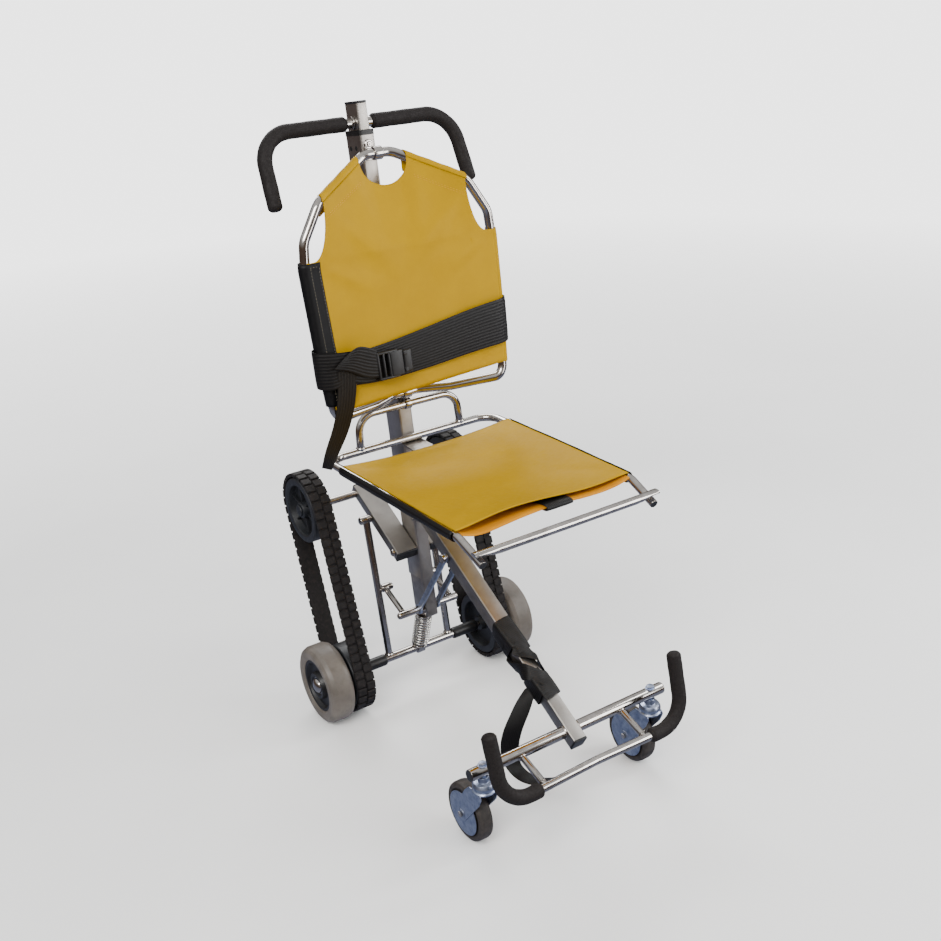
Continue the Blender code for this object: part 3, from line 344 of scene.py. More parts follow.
def placed(name, mesh, finish_name, body, replaces=(), sharp=SHARP_ANGLE):
    """Gives a mesh its material and puts it on its body, for the CAD nodes that it stands for."""
    mesh.materials.append(look(finish_name))
    mesh.shade_smooth()
    mesh.set_sharp_from_angle(angle=math.radians(sharp))
    piece = bpy.data.objects.new(name, mesh)
    bpy.context.scene.collection.objects.link(piece)
    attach(piece, body)
    if replaces:
        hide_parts(*replaces)
    return piece


def softened(node, finish_name, body, width):
    """A merged copy of a CAD node with its edges rounded, which stands for that node."""
    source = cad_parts[node]
    shell = bmesh.new()
    shell.from_mesh(source.data)
    bmesh.ops.remove_doubles(shell, verts=shell.verts, dist=0.001 * MM)
    bmesh.ops.dissolve_limit(shell, angle_limit=math.radians(1), verts=shell.verts, edges=shell.edges)
    mesh = bpy.data.meshes.new(node + "_soft")
    shell.to_mesh(mesh)
    shell.free()
    piece = placed(node + "_soft", mesh, finish_name, body, (node,))
    bevel = piece.modifiers.new("eased_edges", "BEVEL")
    bevel.width = width * MM
    bevel.segments = 2
    bevel.limit_method = "ANGLE"
    bevel.angle_limit = math.radians(35)
    return piece


def thicken(piece, thickness):
    """Gives a cloth surface its thickness in millimetres, half on each side."""
    solid = piece.modifiers.new("cloth_thickness", "SOLIDIFY")
    solid.thickness = thickness * MM
    solid.offset = 0.0
    return piece


# ---- materials -----------------------------------------------------------------------------------
def linear(text):
    """An sRGB hex colour as linear red, green and blue."""
    parts = [int(text[i:i + 2], 16) / 255 for i in (1, 3, 5)]
    return tuple(c / 12.92 if c <= 0.04045 else ((c + 0.055) / 1.055) ** 2.4 for c in parts)


def add(tree, kind, inputs=None, **settings):
    """Adds a node; an input takes a value or another node's output."""
    made = tree.nodes.new(kind)
    for key, value in settings.items():
        setattr(made, key, value)
    for key, value in (inputs or {}).items():
        if isinstance(value, bpy.types.NodeSocket):
            tree.links.new(value, made.inputs[key])
        else:
            made.inputs[key].default_value = value
    return made


def blank(name, roughness, metallic=0.0, coat=0.0, sheen=0.0, level=0.5):
    """A new material with its steady values: (material, its node tree, its shader)."""
    made = bpy.data.materials.new(name)
    made.use_nodes = True
    shader = made.node_tree.nodes["Principled BSDF"]
    shader.inputs["Roughness"].default_value = roughness
    shader.inputs["Metallic"].default_value = metallic
    shader.inputs["Coat Weight"].default_value = coat
    shader.inputs["Coat Roughness"].default_value = 0.25
    shader.inputs["Sheen Weight"].default_value = sheen
    shader.inputs["Specular IOR Level"].default_value = level
    return made, made.node_tree, shader


def wire(tree, shader, colour, roughness, normal):
    """Links the three values that every finish varies over its surface."""
    tree.links.new(colour, shader.inputs["Base Color"])
    tree.links.new(roughness, shader.inputs["Roughness"])
    tree.links.new(normal, shader.inputs["Normal"])


def place_of(tree, coordinates="Object", stretch=(1, 1, 1)):
    spot = add(tree, "ShaderNodeTexCoord").outputs[coordinates]
    return add(tree, "ShaderNodeMapping", {"Vector": spot, "Scale": stretch}).outputs["Vector"]


def speckle(tree, place, size_mm, detail=4.0, distortion=0.0):
    """Noise whose features are about size_mm across."""
    return add(tree, "ShaderNodeTexNoise", {
        "Vector": place, "Scale": 1 / (size_mm * MM), "Detail": detail, "Roughness": 0.55,
        "Distortion": distortion,
    }).outputs["Fac"]


def spread(tree, value, low, high, start=0.3, end=0.7):
    """Maps noise from start..end to low..high."""
    return add(tree, "ShaderNodeMapRange", {
        "Value": value, "From Min": start, "From Max": end, "To Min": low, "To Max": high,
    }).outputs["Result"]


def blend_colours(tree, share, first, second):
    ramp = add(tree, "ShaderNodeValToRGB", {"Fac": share})
    ramp.color_ramp.elements[0].color = (*first, 1)
    ramp.color_ramp.elements[1].color = (*second, 1)
    ramp.color_ramp.elements[0].position = 0.3
    ramp.color_ramp.elements[1].position = 0.72
    return ramp.outputs["Color"]


def raise_surface(tree, height, depth_mm, strength=1.0, under=None):
    inputs = {"Height": height, "Distance": depth_mm * MM, "Strength": strength}
    if under is not None:
        inputs["Normal"] = under
    return add(tree, "ShaderNodeBump", inputs).outputs["Normal"]


def finish(name, colours, mottle_mm, rough, metallic=0.0, bump=(1.0, 0.05, 0.3), coordinates="Object",
           stretch=(1, 1, 1), dirt_and_reflection=None, **shader_values):
    """A surface whose colour and roughness wander with slow noise and whose height follows a finer one."""
    made, tree, shader = blank(name, sum(rough) / 2, metallic, **shader_values)
    place = place_of(tree, coordinates)
    slow = speckle(tree, place, mottle_mm)
    colour = blend_colours(tree, slow, *(linear(c) for c in colours))
    # Second-colour patches: real dust and stains on the rubbers and plastics, and on the stainless finishes
    # a painted reflection of dark brown surroundings.
    if dirt_and_reflection:
        patch = spread(tree, speckle(tree, place, dirt_and_reflection[1], 6.0), 0, dirt_and_reflection[2], 0.5, 0.72)
        dirt_and_reflection_colour = add(tree, "ShaderNodeRGB")
        dirt_and_reflection_colour.outputs[0].default_value = (*linear(dirt_and_reflection[0]), 1)
        mixed = add(tree, "ShaderNodeMix", {"Factor": patch}, data_type="RGBA")
        tree.links.new(colour, mixed.inputs[6])
        tree.links.new(dirt_and_reflection_colour.outputs[0], mixed.inputs[7])
        colour = mixed.outputs[2]
    fine = speckle(tree, place_of(tree, coordinates, stretch), bump[0])
    wire(tree, shader, colour, spread(tree, fine, *rough), raise_surface(tree, fine, bump[1], bump[2]))
    return made


LOOKS = {}


def look(name):
    """A finish, made the first time that a piece asks for it."""
    if name not in LOOKS:
        LOOKS[name] = FINISHES[name][0]()
    return LOOKS[name]


def settings():
    return bpy.context.scene.stair_chair


def polished_stainless():
    """Drawn stainless tube, mirror polished: long faint draw lines blur the reflections a little."""
    return finish(
        "polished_stainless", ("#A29D98", "#C6C1BB"), 60, (0.09, 0.2), 1.0, (0.5, 0.02, 0.25), "UV",
        # Brown patches: painted reflection of dark brown surroundings, not dirt.
        (1, 0.02, 1), ("#756960", 26, 0.35)
    )


def satin_stainless():
    """Welded stainless box tube, satin polished along its length: fine lengthwise scratches and soft grey
    light.
    """
    return finish("satin_stainless", ("#928E89", "#B4AFA9"), 90, (0.28, 0.44), 1.0, (0.35, 0.03, 0.45), "UV",
                  # Brown patches: painted reflection of dark brown surroundings, not dirt.
                  (1, 0.015, 1), ("#7D7268", 40, 0.35))


def satin_plate():
    """Cut stainless plate and bar, satin: the grain runs up the part."""
    return finish("satin_plate", ("#8A8681", "#ACA7A1"), 30, (0.28, 0.42), 1.0, (0.4, 0.03, 0.4), "Object",
                  # Darker brown patches: painted reflection of dark surroundings, not dirt.
                  (1, 1, 0.05), ("#5C534B", 18, 0.4))


def zinc_plate():
    """Pressed steel with blue-passivated zinc: cool grey with faint cloudy patches."""
    return finish(
        "blue_zinc_steel", ("#7F8AA6", "#B2BACC"), 14, (0.26, 0.4), 0.95, (0.7, 0.03, 0.4), "Object",
        (1, 1, 1), ("#5E6878", 9, 0.35)
    )


def spring_steel():
    """Drawn spring wire, bright plated: lines run along the wire."""
    return finish("bright_spring_wire", ("#A5A39E", "#CFCDC8"), 8, (0.14, 0.26), 1.0, (0.3, 0.02, 0.3), "UV",
                  (1, 0.05, 1))


def foam_rubber():
    """Closed-cell foam sleeve: brown-black, matt, with fine open pores; pores are drawn coarse enough to
    show.
    """
    made, tree, shader = blank("closed_cell_foam", 0.72, level=0.25)
    place = place_of(tree)
    colour = blend_colours(tree, speckle(tree, place, 2.2, 8.0), linear("#110E0E"), linear("#231E1D"))
    pores = add(tree, "ShaderNodeTexVoronoi", {"Vector": place, "Scale": 1 / (0.9 * MM)}).outputs["Distance"]
    cells = raise_surface(tree, pores, 0.25, 0.5)
    swell = raise_surface(tree, speckle(tree, place, 18, 3.0), 0.8, 0.35, cells)
    wire(tree, shader, colour, spread(tree, speckle(tree, place, 7), 0.58, 0.82), swell)
    return made


def moulded_black():
    """Injection-moulded black nylon: fine spark grain and a satin gloss."""
    return finish("black_moulded_nylon", ("#0A0A0B", "#161618"), 20, (0.34, 0.52), 0.0, (0.6, 0.05, 0.4),
                  dirt_and_reflection=("#262422", 12, 0.25))


def pulley_plastic():
    """Moulded pulley: slate black, slightly worn and dusty in the recess."""
    return finish("slate_moulded_nylon", ("#0C0D10", "#181B20"), 16, (0.38, 0.6), 0.0, (0.8, 0.05, 0.4),
                  dirt_and_reflection=("#2C2D31", 11, 0.35))


def belt_rubber():
    """Moulded track rubber: brown-black, matt, dusty, with scuffed block tops."""
    return finish("track_rubber", ("#0B0909", "#1B1616"), 9, (0.55, 0.8), 0.0, (0.9, 0.18, 0.6),
                  dirt_and_reflection=("#332B28", 6, 0.4), level=0.35)


def tyre_grey():
    """Solid grey polyurethane tyre: warm mid grey, silky, slightly stained along the tread."""
    return finish("grey_polyurethane", ("#565049", "#716A63"), 34, (0.42, 0.6), 0.0, (1.2, 0.06, 0.4),
                  dirt_and_reflection=("#423B36", 17, 0.45), coat=0.05)


def tyre_dark():
    """Dark grey caster rubber with a dusty tread."""
    return finish("dark_caster_rubber", ("#211D1B", "#37312E"), 12, (0.5, 0.72), 0.0, (1.0, 0.08, 0.5),
                  dirt_and_reflection=("#4A423D", 9, 0.35))


def vinyl(name, first, second):
    """PVC-coated cloth: embossed with a fine pebble grain, a soft gloss, and a slow wander in tone."""
    made, tree, shader = blank(name, 0.42, level=0.07)
    place = place_of(tree)
    slow = speckle(tree, place, 45, 3.0)
    grain = speckle(tree, place, 1.5, 3.0)
    mixed = add(tree, "ShaderNodeMath", {0: slow, 1: grain}, operation="ADD").outputs[0]
    tone = add(tree, "ShaderNodeMath", {0: mixed, 1: 0.5}, operation="MULTIPLY").outputs[0]
    colour = blend_colours(tree, tone, first, second)
    pebble = add(
        tree, "ShaderNodeTexVoronoi", {"Vector": place, "Scale": 1 / (1.3 * MM)}
    ).outputs["Distance"]
    embossed = raise_surface(tree, pebble, 0.16, 0.42)
    creased = raise_surface(tree, speckle(tree, place, 24, 2.0, 0.6), 1.1, 0.35, embossed)
    wire(tree, shader, colour, spread(tree, speckle(tree, place, 9), 0.34, 0.5), creased)
    return made


def vinyl_front():
    return vinyl("yellow_coated_cloth", tuple(settings().cloth_shade), tuple(settings().cloth_colour))


def vinyl_return():
    """The same cloth's lower layer, whose uncoated side glows orange."""
    return vinyl("orange_cloth_back", (0.48, 0.18, 0.006), tuple(settings().return_colour))


def webbing(name, rib_mm, dark, pale, along=True):
    """Woven polyester webbing: ribs along the strap every rib_mm, crossed by a fine weft."""
    made, tree, shader = blank(name, 0.55, level=0.32)
    place = place_of(tree, "UV")
    ribs = add(tree, "ShaderNodeTexWave", {
        "Vector": place, "Scale": 1 / (rib_mm * MM * 3.1416), "Distortion": 0.25, "Detail": 1.0,
    }, bands_direction="X" if along else "Y").outputs["Fac"]
    weft = add(tree, "ShaderNodeTexWave", {
        "Vector": place, "Scale": 1 / (1.6 * MM * 3.1416), "Distortion": 0.4,
    }, bands_direction="Y" if along else "X").outputs["Fac"]
    fuzz = speckle(tree, place, 2.5, 5.0)
    # Colour follows the ribs times the fuzz: the rib crests take the paler tone as a painted sheen on their
    # tops, mixed with random fuzz in the yarn.
    share = add(tree, "ShaderNodeMath", {0: ribs, 1: fuzz}, operation="MULTIPLY").outputs[0]
    colour = blend_colours(tree, spread(tree, share, 0, 1, 0.0, 0.75), linear(dark), linear(pale))
    ridge = raise_surface(tree, ribs, 0.5, 0.55)
    woven = raise_surface(tree, weft, 0.18, 0.45, ridge)
    wire(tree, shader, colour, spread(tree, fuzz, 0.38, 0.6), woven)
    return made


def belt_webbing():
    return webbing("black_seat_webbing", 6.5, "#050404", "#151110")


def strap_webbing():
    return webbing("black_soft_webbing", 4.0, "#050404", "#120F0E")


def edge_cloth():
    """Black coated edge cloth: a plain weave with a dull shine."""
    made, tree, shader = blank("black_edge_cloth", 0.6, level=0.22)
    place = place_of(tree, "UV")
    weave = add(tree, "ShaderNodeTexChecker", {"Vector": place, "Scale": 1 / (1.1 * MM)}).outputs["Fac"]
    fuzz = speckle(tree, place, 6.0, 6.0)
    colour = blend_colours(tree, fuzz, linear("#040405"), linear("#0D0C0E"))
    wire(tree, shader, colour, spread(tree, fuzz, 0.42, 0.62), raise_surface(tree, weave, 0.08, 0.4))
    return made


def stitch_thread():
    """Bonded polyester thread, pale sand."""
    return finish("sand_thread", ("#5E574A", "#8A8270"), 3, (0.5, 0.7), 0.0, (0.4, 0.05, 0.4))


def yellow_thread():
    """Bonded polyester thread, close to the cloth's yellow but darker."""
    return finish("ochre_thread", ("#B87F0C", "#D9A01A"), 3, (0.5, 0.7), 0.0, (0.4, 0.05, 0.4))


def painted_hole_shade():
    """The inside of a drilled hole: black with a trace of grease."""
    return finish("hole_shadow", ("#050505", "#0E0D0C"), 4, (0.6, 0.8), 0.0, (0.6, 0.02, 0.3))


FINISHES = {
    "stainless": (polished_stainless, "stainless_tube"),
    "satin": (satin_stainless, "satin_extrusion"),
    "plate": (satin_plate, "satin_extrusion"),
    "zinc": (zinc_plate, "zinc_plate"),
    "spring": (spring_steel, "spring_wire"),
    "foam": (foam_rubber, "foam_grip"),
    "black": (moulded_black, "black_plastic"),
    "pulley": (pulley_plastic, "black_plastic"),
    "belt": (belt_rubber, "black_rubber"),
    "tyre": (tyre_grey, "grey_rubber"),
    "caster": (tyre_dark, "grey_rubber"),
    "vinyl": (vinyl_front, "yellow_vinyl"),
    "return": (vinyl_return, "yellow_vinyl"),
    "belt_web": (belt_webbing, "black_webbing"),
    "strap_web": (strap_webbing, "black_webbing"),
    "edge": (edge_cloth, "black_webbing"),
    "thread": (stitch_thread, "black_webbing"),
    "yellow_thread": (yellow_thread, "yellow_vinyl"),
    "hole": (painted_hole_shade, "satin_extrusion"),
}


# ---- mast and push handle ------------------------------------------------------------------------
def box_tube(section, route, over):
    """A hollow box tube with rounded corners along a route; its depth lies along over."""
    width, depth, radius, wall = mm(*section)
    outer = rounded_rectangle(width, depth, radius)
    inner = rounded_rectangle(width - 2 * wall, depth - 2 * wall, max(radius - wall, 0.5 * MM))
    return pipe(route, outer, inner, over)


def build_mast():
    """Two telescoping box tubes with a cap, a guide bush, the height lock's button and its drilled holes."""
    outer = box_tube(MAST_SECTION, [on_mast(0, 0, 302), on_mast(0, 0, 1253)], MAST_BACK)
    make("mast_outer_skin", outer, "satin", "frame", ("mast_outer_tube",))
    bush = box_tube(BUSH_SECTION, [on_mast(0, 0, 1247), on_mast(0, 0, 1256.5)], MAST_BACK)
    make("mast_mouth_bush", bush, "black", "frame", ("mast_guide_bush",))
    inner = box_tube(SLIDER_SECTION, [on_mast(0, 0, 940), on_mast(0, 0, 1306)], MAST_BACK)
    make("mast_inner_skin", inner, "satin", "handle_mast", ("mast_inner_tube",))
    cap = [
        block(
            on_mast(0, 0, 1306.2), on_mast(0, 0, 1311), 23.6 * MM, 50.6 * MM, MAST_BACK, 2.5 * MM, 1.5 * MM
        )
    ]
    cap.append(block(on_mast(0, 0, 1294), on_mast(0, 0, 1307), 17.5 * MM, 44.5 * MM, MAST_BACK, 1 * MM))
    make("mast_top_cap", cap, "black", "handle_mast", ("mast_cap",))
    softened("mast_foot", "plate", "frame", 0.8)
    collar = turned(
        ((5.2, 0.2), (9.5, 0.2), (9.5, -2.0), (8.0, -3.2), (5.2, -3.2)), on_mast(*LOCK_BUTTON), MAST_BACK
    )
    make("lock_button_collar", collar, "stainless", "frame")
    button = [disc(4.5, -5.2, -3.2, on_mast(*LOCK_BUTTON), MAST_BACK, soften=0.5)]
    make("lock_button_head", button, "stainless", "lock_button", ("mast_lock_button",))
    # The button's dimple: a thin near-black disc, painted shade where the dimple is.
    dimple = disc(1.5, -5.5, -5.0, on_mast(*LOCK_BUTTON), MAST_BACK, soften=0.1)
    make("lock_button_dimple_shade", dimple, "hole", "lock_button")
    # The drilled holes in the mast's sides: thin near-black discs flush with the faces, painted shade in
    # place of holes.
    for side, sign in SIDES:
        holes = []
        for back in (-8, 14):
            holes.append(disc(4.6, -0.3, 0.35, on_mast(16 * sign, back, 1223), ACROSS * sign, soften=0.1))
        make(f"mast_side_hole_shades_{side}", holes, "hole", "frame")


def handle_route():
    half = [mm(-219, 18, 1129), mm(-212, 76, 1262), HANDLE_PIVOT]
    return rounded(mirrored(half), 64 * MM)


def half_of(route, sign, start):
    """The route's points on one side, beginning at x = start."""
    route = route if sign > 0 else route[::-1]
    ahead = route[:, 0] * sign
    first = int(np.argmax(ahead > start))
    share = (start - ahead[first - 1]) / (ahead[first] - ahead[first - 1])
    inner = route[first - 1] * (1 - share) + route[first] * share
    return np.vstack((inner[None], route[first:]))


def foam_sleeve(route, radius=FOAM):
    """A foam tube with a rolled mouth and a round closed tip, slightly full along its length."""
    route = spaced(route, 7 * MM)
    along = np.linspace(0, 1, len(route))
    fullness = 1 + 0.012 * np.sin(along * 31) + 0.008 * np.sin(along * 73 + 1)
    fullness[0] = fullness[-1] = 0.99
    tip = route[-1] + unit(route[-1] - route[-2]) * 0.1 * MM
    sizes = np.stack([fullness] * 2, 1)
    return swept(np.vstack((route[:-1], tip)), circle(radius, 36), rim=radius * 0.62, sizes=sizes)


def shortened(route, length=9 * MM):
    """The route with its two end points pulled back along their runs."""
    route = np.array(route, float)
    route[0] += unit(route[1] - route[0]) * length
    route[-1] += unit(route[-2] - route[-1]) * length
    return route


def build_handle():
    """The push handle's bar with a foam sleeve bent down over each arm."""
    route = handle_route()
    make("push_bar_skin", tube(shortened(route), PUSH_BAR), "stainless", "push_handle", ("push_handle_bar",))
    for side, sign in SIDES:
        sleeve = foam_sleeve(half_of(route, sign, 26 * MM))
        make(f"handle_foam_{side}", sleeve, "foam", "push_handle", (f"handle_grip_{side}",))
        washer = turned(
            ((9.7, -1.5), (12.5, -1.5), (12.5, 1.5), (9.7, 1.5)), HANDLE_PIVOT + ACROSS * sign * 13.6 * MM
        )
        make(f"handle_washer_{side}", washer, "stainless", "push_handle")


# ---- backrest ------------------------------------------------------------------------------------
BACK_CORNERS = (
    (-30, 7, 1211), (-164, -53, 1147), (-206, -60, 1080), (-211, -63, 1030),
    (-207, -84, 880), (-200, -101, 756), (-188, -103, 741), (-90, -62, 731), (-30, -33, 731.5),
)
SHOULDER_Z = 1044.0
NOTCH_X, ROOF_X, CUT_X, SIDE_X = 52.0, 158.0, 196.0, 211.0
SIDE_HEIGHTS = (741, 756, 880, 1030, 1080)
SIDE_OUT = (190, 200, 207, 211, 206)
SIDE_DEPTH = (-103, -101, -84, -63, -60)


def roof_height(x):
    return 1211 - 0.478 * (np.abs(x) - 30)


def roof_depth(x):
    return 7 - 0.448 * (np.clip(np.abs(x), 30, 164) - 30)


def build_back_frame():
    """The backrest's closed tube loop and the two brackets that tie it to the mast."""
    corners = np.array(BACK_CORNERS) * MM
    loop = rounded(np.concatenate((corners, corners[::-1] * (-1, 1, 1))), 46 * MM, closed=True, turn_step=4)
    make("backrest_loop", tube(loop, BACK_TUBE, closed=True), "stainless", "frame", ("backrest_frame",))
    for node, centre, radius in (
        ("backrest_top_bracket", mm(0, 7, 1211), 9.5), ("backrest_bottom_bracket", mm(0, -33, 731.5), 9.5),
    ):
        bracket_on_mast(node, centre, radius, 9, "frame")


def bracket_on_mast(node, centre, radius, half, body):
    """A ring round a cross tube with a tapered foot welded to the mast's front face."""
    across = centre - MAST_FOOT
    up, back = across @ MAST_UP / MM, across @ MAST_BACK / MM
    ring = turned(
        ((radius + 0.4, -half), (radius + 3.3, -half), (radius + 3.3, half), (radius + 0.4, half)), centre
    )
    foot = block(
        on_mast(0, back + radius + 2.2, up), on_mast(0, -31.2, up), 2 * half * MM, 19 * MM, MAST_UP,
        1.2 * MM
    )
    parts = [ring]
    if -31.2 - (back + radius + 2.2) > 1.5:
        parts.append(foot)
    parts.append(
        block(
            on_mast(0, -33.4, up - 13), on_mast(0, -33.4, up + 13), 2 * half * MM + 4 * MM, 4 * MM,
            MAST_BACK, 1.2 * MM
        )
    )
    make(node + "_ring", parts, "stainless", body, (node,))


def cover_columns():
    """Columns across the cover, closer together where the notch and the cut-outs are steep."""
    notch = NOTCH_X * np.sin(np.linspace(0, math.pi / 2, 16))
    roof = np.linspace(NOTCH_X, ROOF_X, 22)[1:]
    cut = ROOF_X + (CUT_X - ROOF_X) * (1 - np.cos(np.linspace(0, math.pi / 2, 18)[1:]))
    side = np.linspace(CUT_X, SIDE_X, 5)[1:]
    right = np.concatenate((notch, roof, cut, side))
    return np.concatenate((-right[:0:-1], right))


def cover_top(x):
    """Upper edge: a hanging arc in the middle, the sloping roof, a quarter ellipse at the cut-out, then
    level.
    """
    x = np.abs(x)
    notch = roof_height(NOTCH_X) - 46 * np.sqrt(np.clip(1 - (x / NOTCH_X) ** 2, 0, 1))
    share = np.clip((x - ROOF_X) / (CUT_X - ROOF_X), 0, 1)
    drop = roof_height(ROOF_X) - SHOULDER_Z
    cut = roof_height(ROOF_X) - drop * np.sqrt(np.clip(1 - (1 - share) ** 2, 0, 1))
    return np.where(x < NOTCH_X, notch, np.where(x < ROOF_X, roof_height(x), cut))


def fold(x, z, start, end, width, height):
    """A soft ridge along the line from start to end: height * exp(-(distance / width) squared), fading at
    its ends.
    """
    (x0, z0), (x1, z1) = start, end
    dx, dz = x1 - x0, z1 - z0
    length = math.hypot(dx, dz)
    along = ((x - x0) * dx + (z - z0) * dz) / length ** 2
    aside = ((x - x0) * dz - (z - z0) * dx) / length
    fade = np.clip(np.sin(np.clip(along, 0, 1) * math.pi), 0, 1)
    return height * fade * np.exp(-(aside / (width * (0.5 + along))) ** 2)


def cover_depth(x, z):
    """Depth of the cloth: level with the tubes' fronts at its edges, hollow in the middle, with tension
    folds.
    """
    low = np.interp(np.minimum(z, SHOULDER_Z), SIDE_HEIGHTS, SIDE_DEPTH) - 11.2
    share = np.clip((z - SHOULDER_Z) / (roof_height(np.clip(np.abs(x), 30, 164)) - SHOULDER_Z), 0, 1)
    high = roof_depth(x) - 11.2
    flat = low * (1 - share) + high * share
    across = np.clip(1 - (x / SIDE_X) ** 2, 0, 1)
    hollow = 9 * across * np.sin(np.clip((z - 762) / 440, 0, 1) * math.pi) ** 0.8
    folds = fold(x, z, (-150, 1125), (10, 985), 20, -3.2) + fold(x, z, (150, 1120), (-5, 1000), 18, -3.0)
    folds += fold(x, z, (-75, 1190), (-50, 1030), 22, -1.2) + fold(x, z, (62, 1188), (40, 1000), 22, -1.8)
    folds += fold(x, z, (-190, 1035), (-40, 960), 16, -2.0) + fold(x, z, (192, 1030), (60, 975), 17, -2.2)
    folds += fold(x, z, (-185, 800), (-20, 900), 22, -2.0) + fold(x, z, (190, 790), (30, 905), 24, -1.8)
    return flat + hollow + 1.6 * folds


def build_back_cover():
    """The yellow back sling: front panel, pockets rolled over the roof and side tubes, and stitching."""
    columns = cover_columns()
    rows = np.linspace(0, 1, 72) ** 0.92
    top = cover_top(columns)
    bottom = 764 + 9 * np.clip(columns / SIDE_X, -1, 1)
    height = bottom + (top - bottom) * rows[:, None]
    reach = np.interp(np.minimum(height, SHOULDER_Z), SIDE_HEIGHTS, SIDE_OUT) / SIDE_X
    across = columns * reach
    depth = cover_depth(np.broadcast_to(columns, height.shape), height)
    hem = 1.2 * np.exp(-((height - bottom - 9) / 2.2) ** 2)
    panel = grid(np.stack((across, depth - hem, height), axis=2) * MM)
    piece = make("backrest_sling", panel, "vinyl", "frame", ("backrest_cover",), closed=False)
    thicken(piece, 1.4)
    for side, sign in SIDES:
        pocket = make(f"backrest_roof_pocket_{side}", roof_pocket(sign), "vinyl", "frame", closed=False)
        thicken(pocket, 1.4)
        seam = [stitches(roof_seam(sign, drop), 6.5, 3.6, 0.45) for drop in (30, 34)]
        make(f"roof_seam_{side}", seam, "yellow_thread", "frame")
    sleeve = make("backrest_side_pocket_right", side_pocket(1.0), "vinyl", "frame", closed=False)
    thicken(sleeve, 1.4)


def roof_line(sign, start, end, count):
    """Points on the middle of a sloping top tube."""
    x = np.linspace(start, end, count)
    return np.stack((x * sign, roof_depth(x), roof_height(x)), 1) * MM


def roof_pocket(sign):
    """Cloth rolled over a sloping tube: from the front tangent over the top and down behind by a flap."""
    spine = roof_line(sign, NOTCH_X, ROOF_X + 2, 26)
    radius = 11.2 * MM
    turn = np.radians(np.linspace(0, 180, 20))[None, :, None]
    forward, up = np.array((0, -1.0, 0)), np.array((0, 0, 1.0))
    ruck = 1 + 0.03 * np.sin(np.linspace(0, 19, 26))[:, None, None] * np.sin(turn)
    roll = spine[:, None] + radius * ruck * (np.cos(turn) * forward + np.sin(turn) * up)
    drops = np.linspace(4, 30, 6)[None, :, None] * MM
    flap = roll[:, -1:] - drops * up - 0.12 * drops * np.array((0, 1.0, 0))
    return grid(np.concatenate((roll, flap), axis=1))


def side_pocket(sign, radius=11.2, back=215, inner=0.0, low=772, high=1044):
    """Cloth rolled round a side tube: from a flat strip inside the front tangent, round the outside and
    behind.
    """
    heights = np.linspace(low, high, 40)
    x = np.interp(heights, SIDE_HEIGHTS, SIDE_OUT) * sign
    y = np.interp(heights, SIDE_HEIGHTS, SIDE_DEPTH)
    spine = np.stack((x, y, heights), 1)
    turn = np.radians(np.linspace(0, back, 24))[None, :, None]
    forward, out = np.array((0, -1.0, 0)), np.array((sign, 0, 0.0))
    roll = spine[:, None] + radius * (np.cos(turn) * forward + np.sin(turn) * out)
    if inner:
        share = np.linspace(1, 0, 12)[:-1]
        inward = spine[:, None, 0] - sign * inner * share
        depth = cover_depth(
            inward / (x[:, None] / (SIDE_X * sign)), np.broadcast_to(heights[:, None], inward.shape)
        ) - 1.3
        strip = np.stack((inward, depth, np.broadcast_to(heights[:, None], inward.shape)), axis=2)
        strip[:, :, 1] = np.where(share < 0.25, spine[:, None, 1] - radius, strip[:, :, 1])
        roll = np.concatenate((strip, roll), axis=1)
    return grid(roll * MM)


def roof_seam(sign, drop):
    """A line on the cloth's face, a constant drop below the sloping tube."""
    x = np.linspace(NOTCH_X + 6, ROOF_X - 3, 40)
    z = roof_height(x) - drop
    return np.stack((x * sign, cover_depth(x * sign, z) - 1.0, z), 1) * MM


def stitches(route, pitch, length, radius):
    """Short thread bars along a route: each is a six-sided spindle of the given length, pitch apart."""
    route = np.asarray(route, float)
    run = np.concatenate(((0,), np.cumsum(np.linalg.norm(np.diff(route, axis=0), axis=1))))
    starts = np.arange(1 * MM, run[-1] - length * MM, pitch * MM)

    def at(distance):
        return np.stack([np.interp(distance, run, route[:, k]) for k in range(3)], axis=1)

    first, last = at(starts), at(starts + length * MM)
    along = unit(last - first)
    side = unit(np.cross(along, (0.21, -0.93, 0.3)))
    over = np.cross(along, side)
    turn = np.arange(6) * math.pi / 3
    ring = np.cos(turn)[None, :, None] * side[:, None] + np.sin(turn)[None, :, None] * over[:, None]
    thick = np.array((0.45, 1.0, 1.0, 0.45)) * radius * MM
    spots = np.stack([first * (1 - s) + last * s for s in (0, 0.18, 0.82, 1)], axis=1)
    points = spots[:, :, None] + ring[:, None] * thick[None, :, None, None]
    count = len(starts)
    k = np.arange(6)
    sides = [
        np.stack((r * 6 + k, r * 6 + (k + 1) % 6, (r + 1) * 6 + (k + 1) % 6, (r + 1) * 6 + k), 1)
        for r in range(3)
    ]
    quads = (np.concatenate(sides)[None] + (np.arange(count) * 24)[:, None, None]).reshape(-1, 4).tolist()
    caps = [list(range(b, b + 6)) for b in range(0, count * 24, 24)]
    caps += [list(range(b + 18, b + 24)) for b in range(0, count * 24, 24)]
    uv = [np.zeros((4, 2))] * len(quads) + [np.zeros((6, 2))] * len(caps)
    return points.reshape(-1, 3), quads + caps, uv


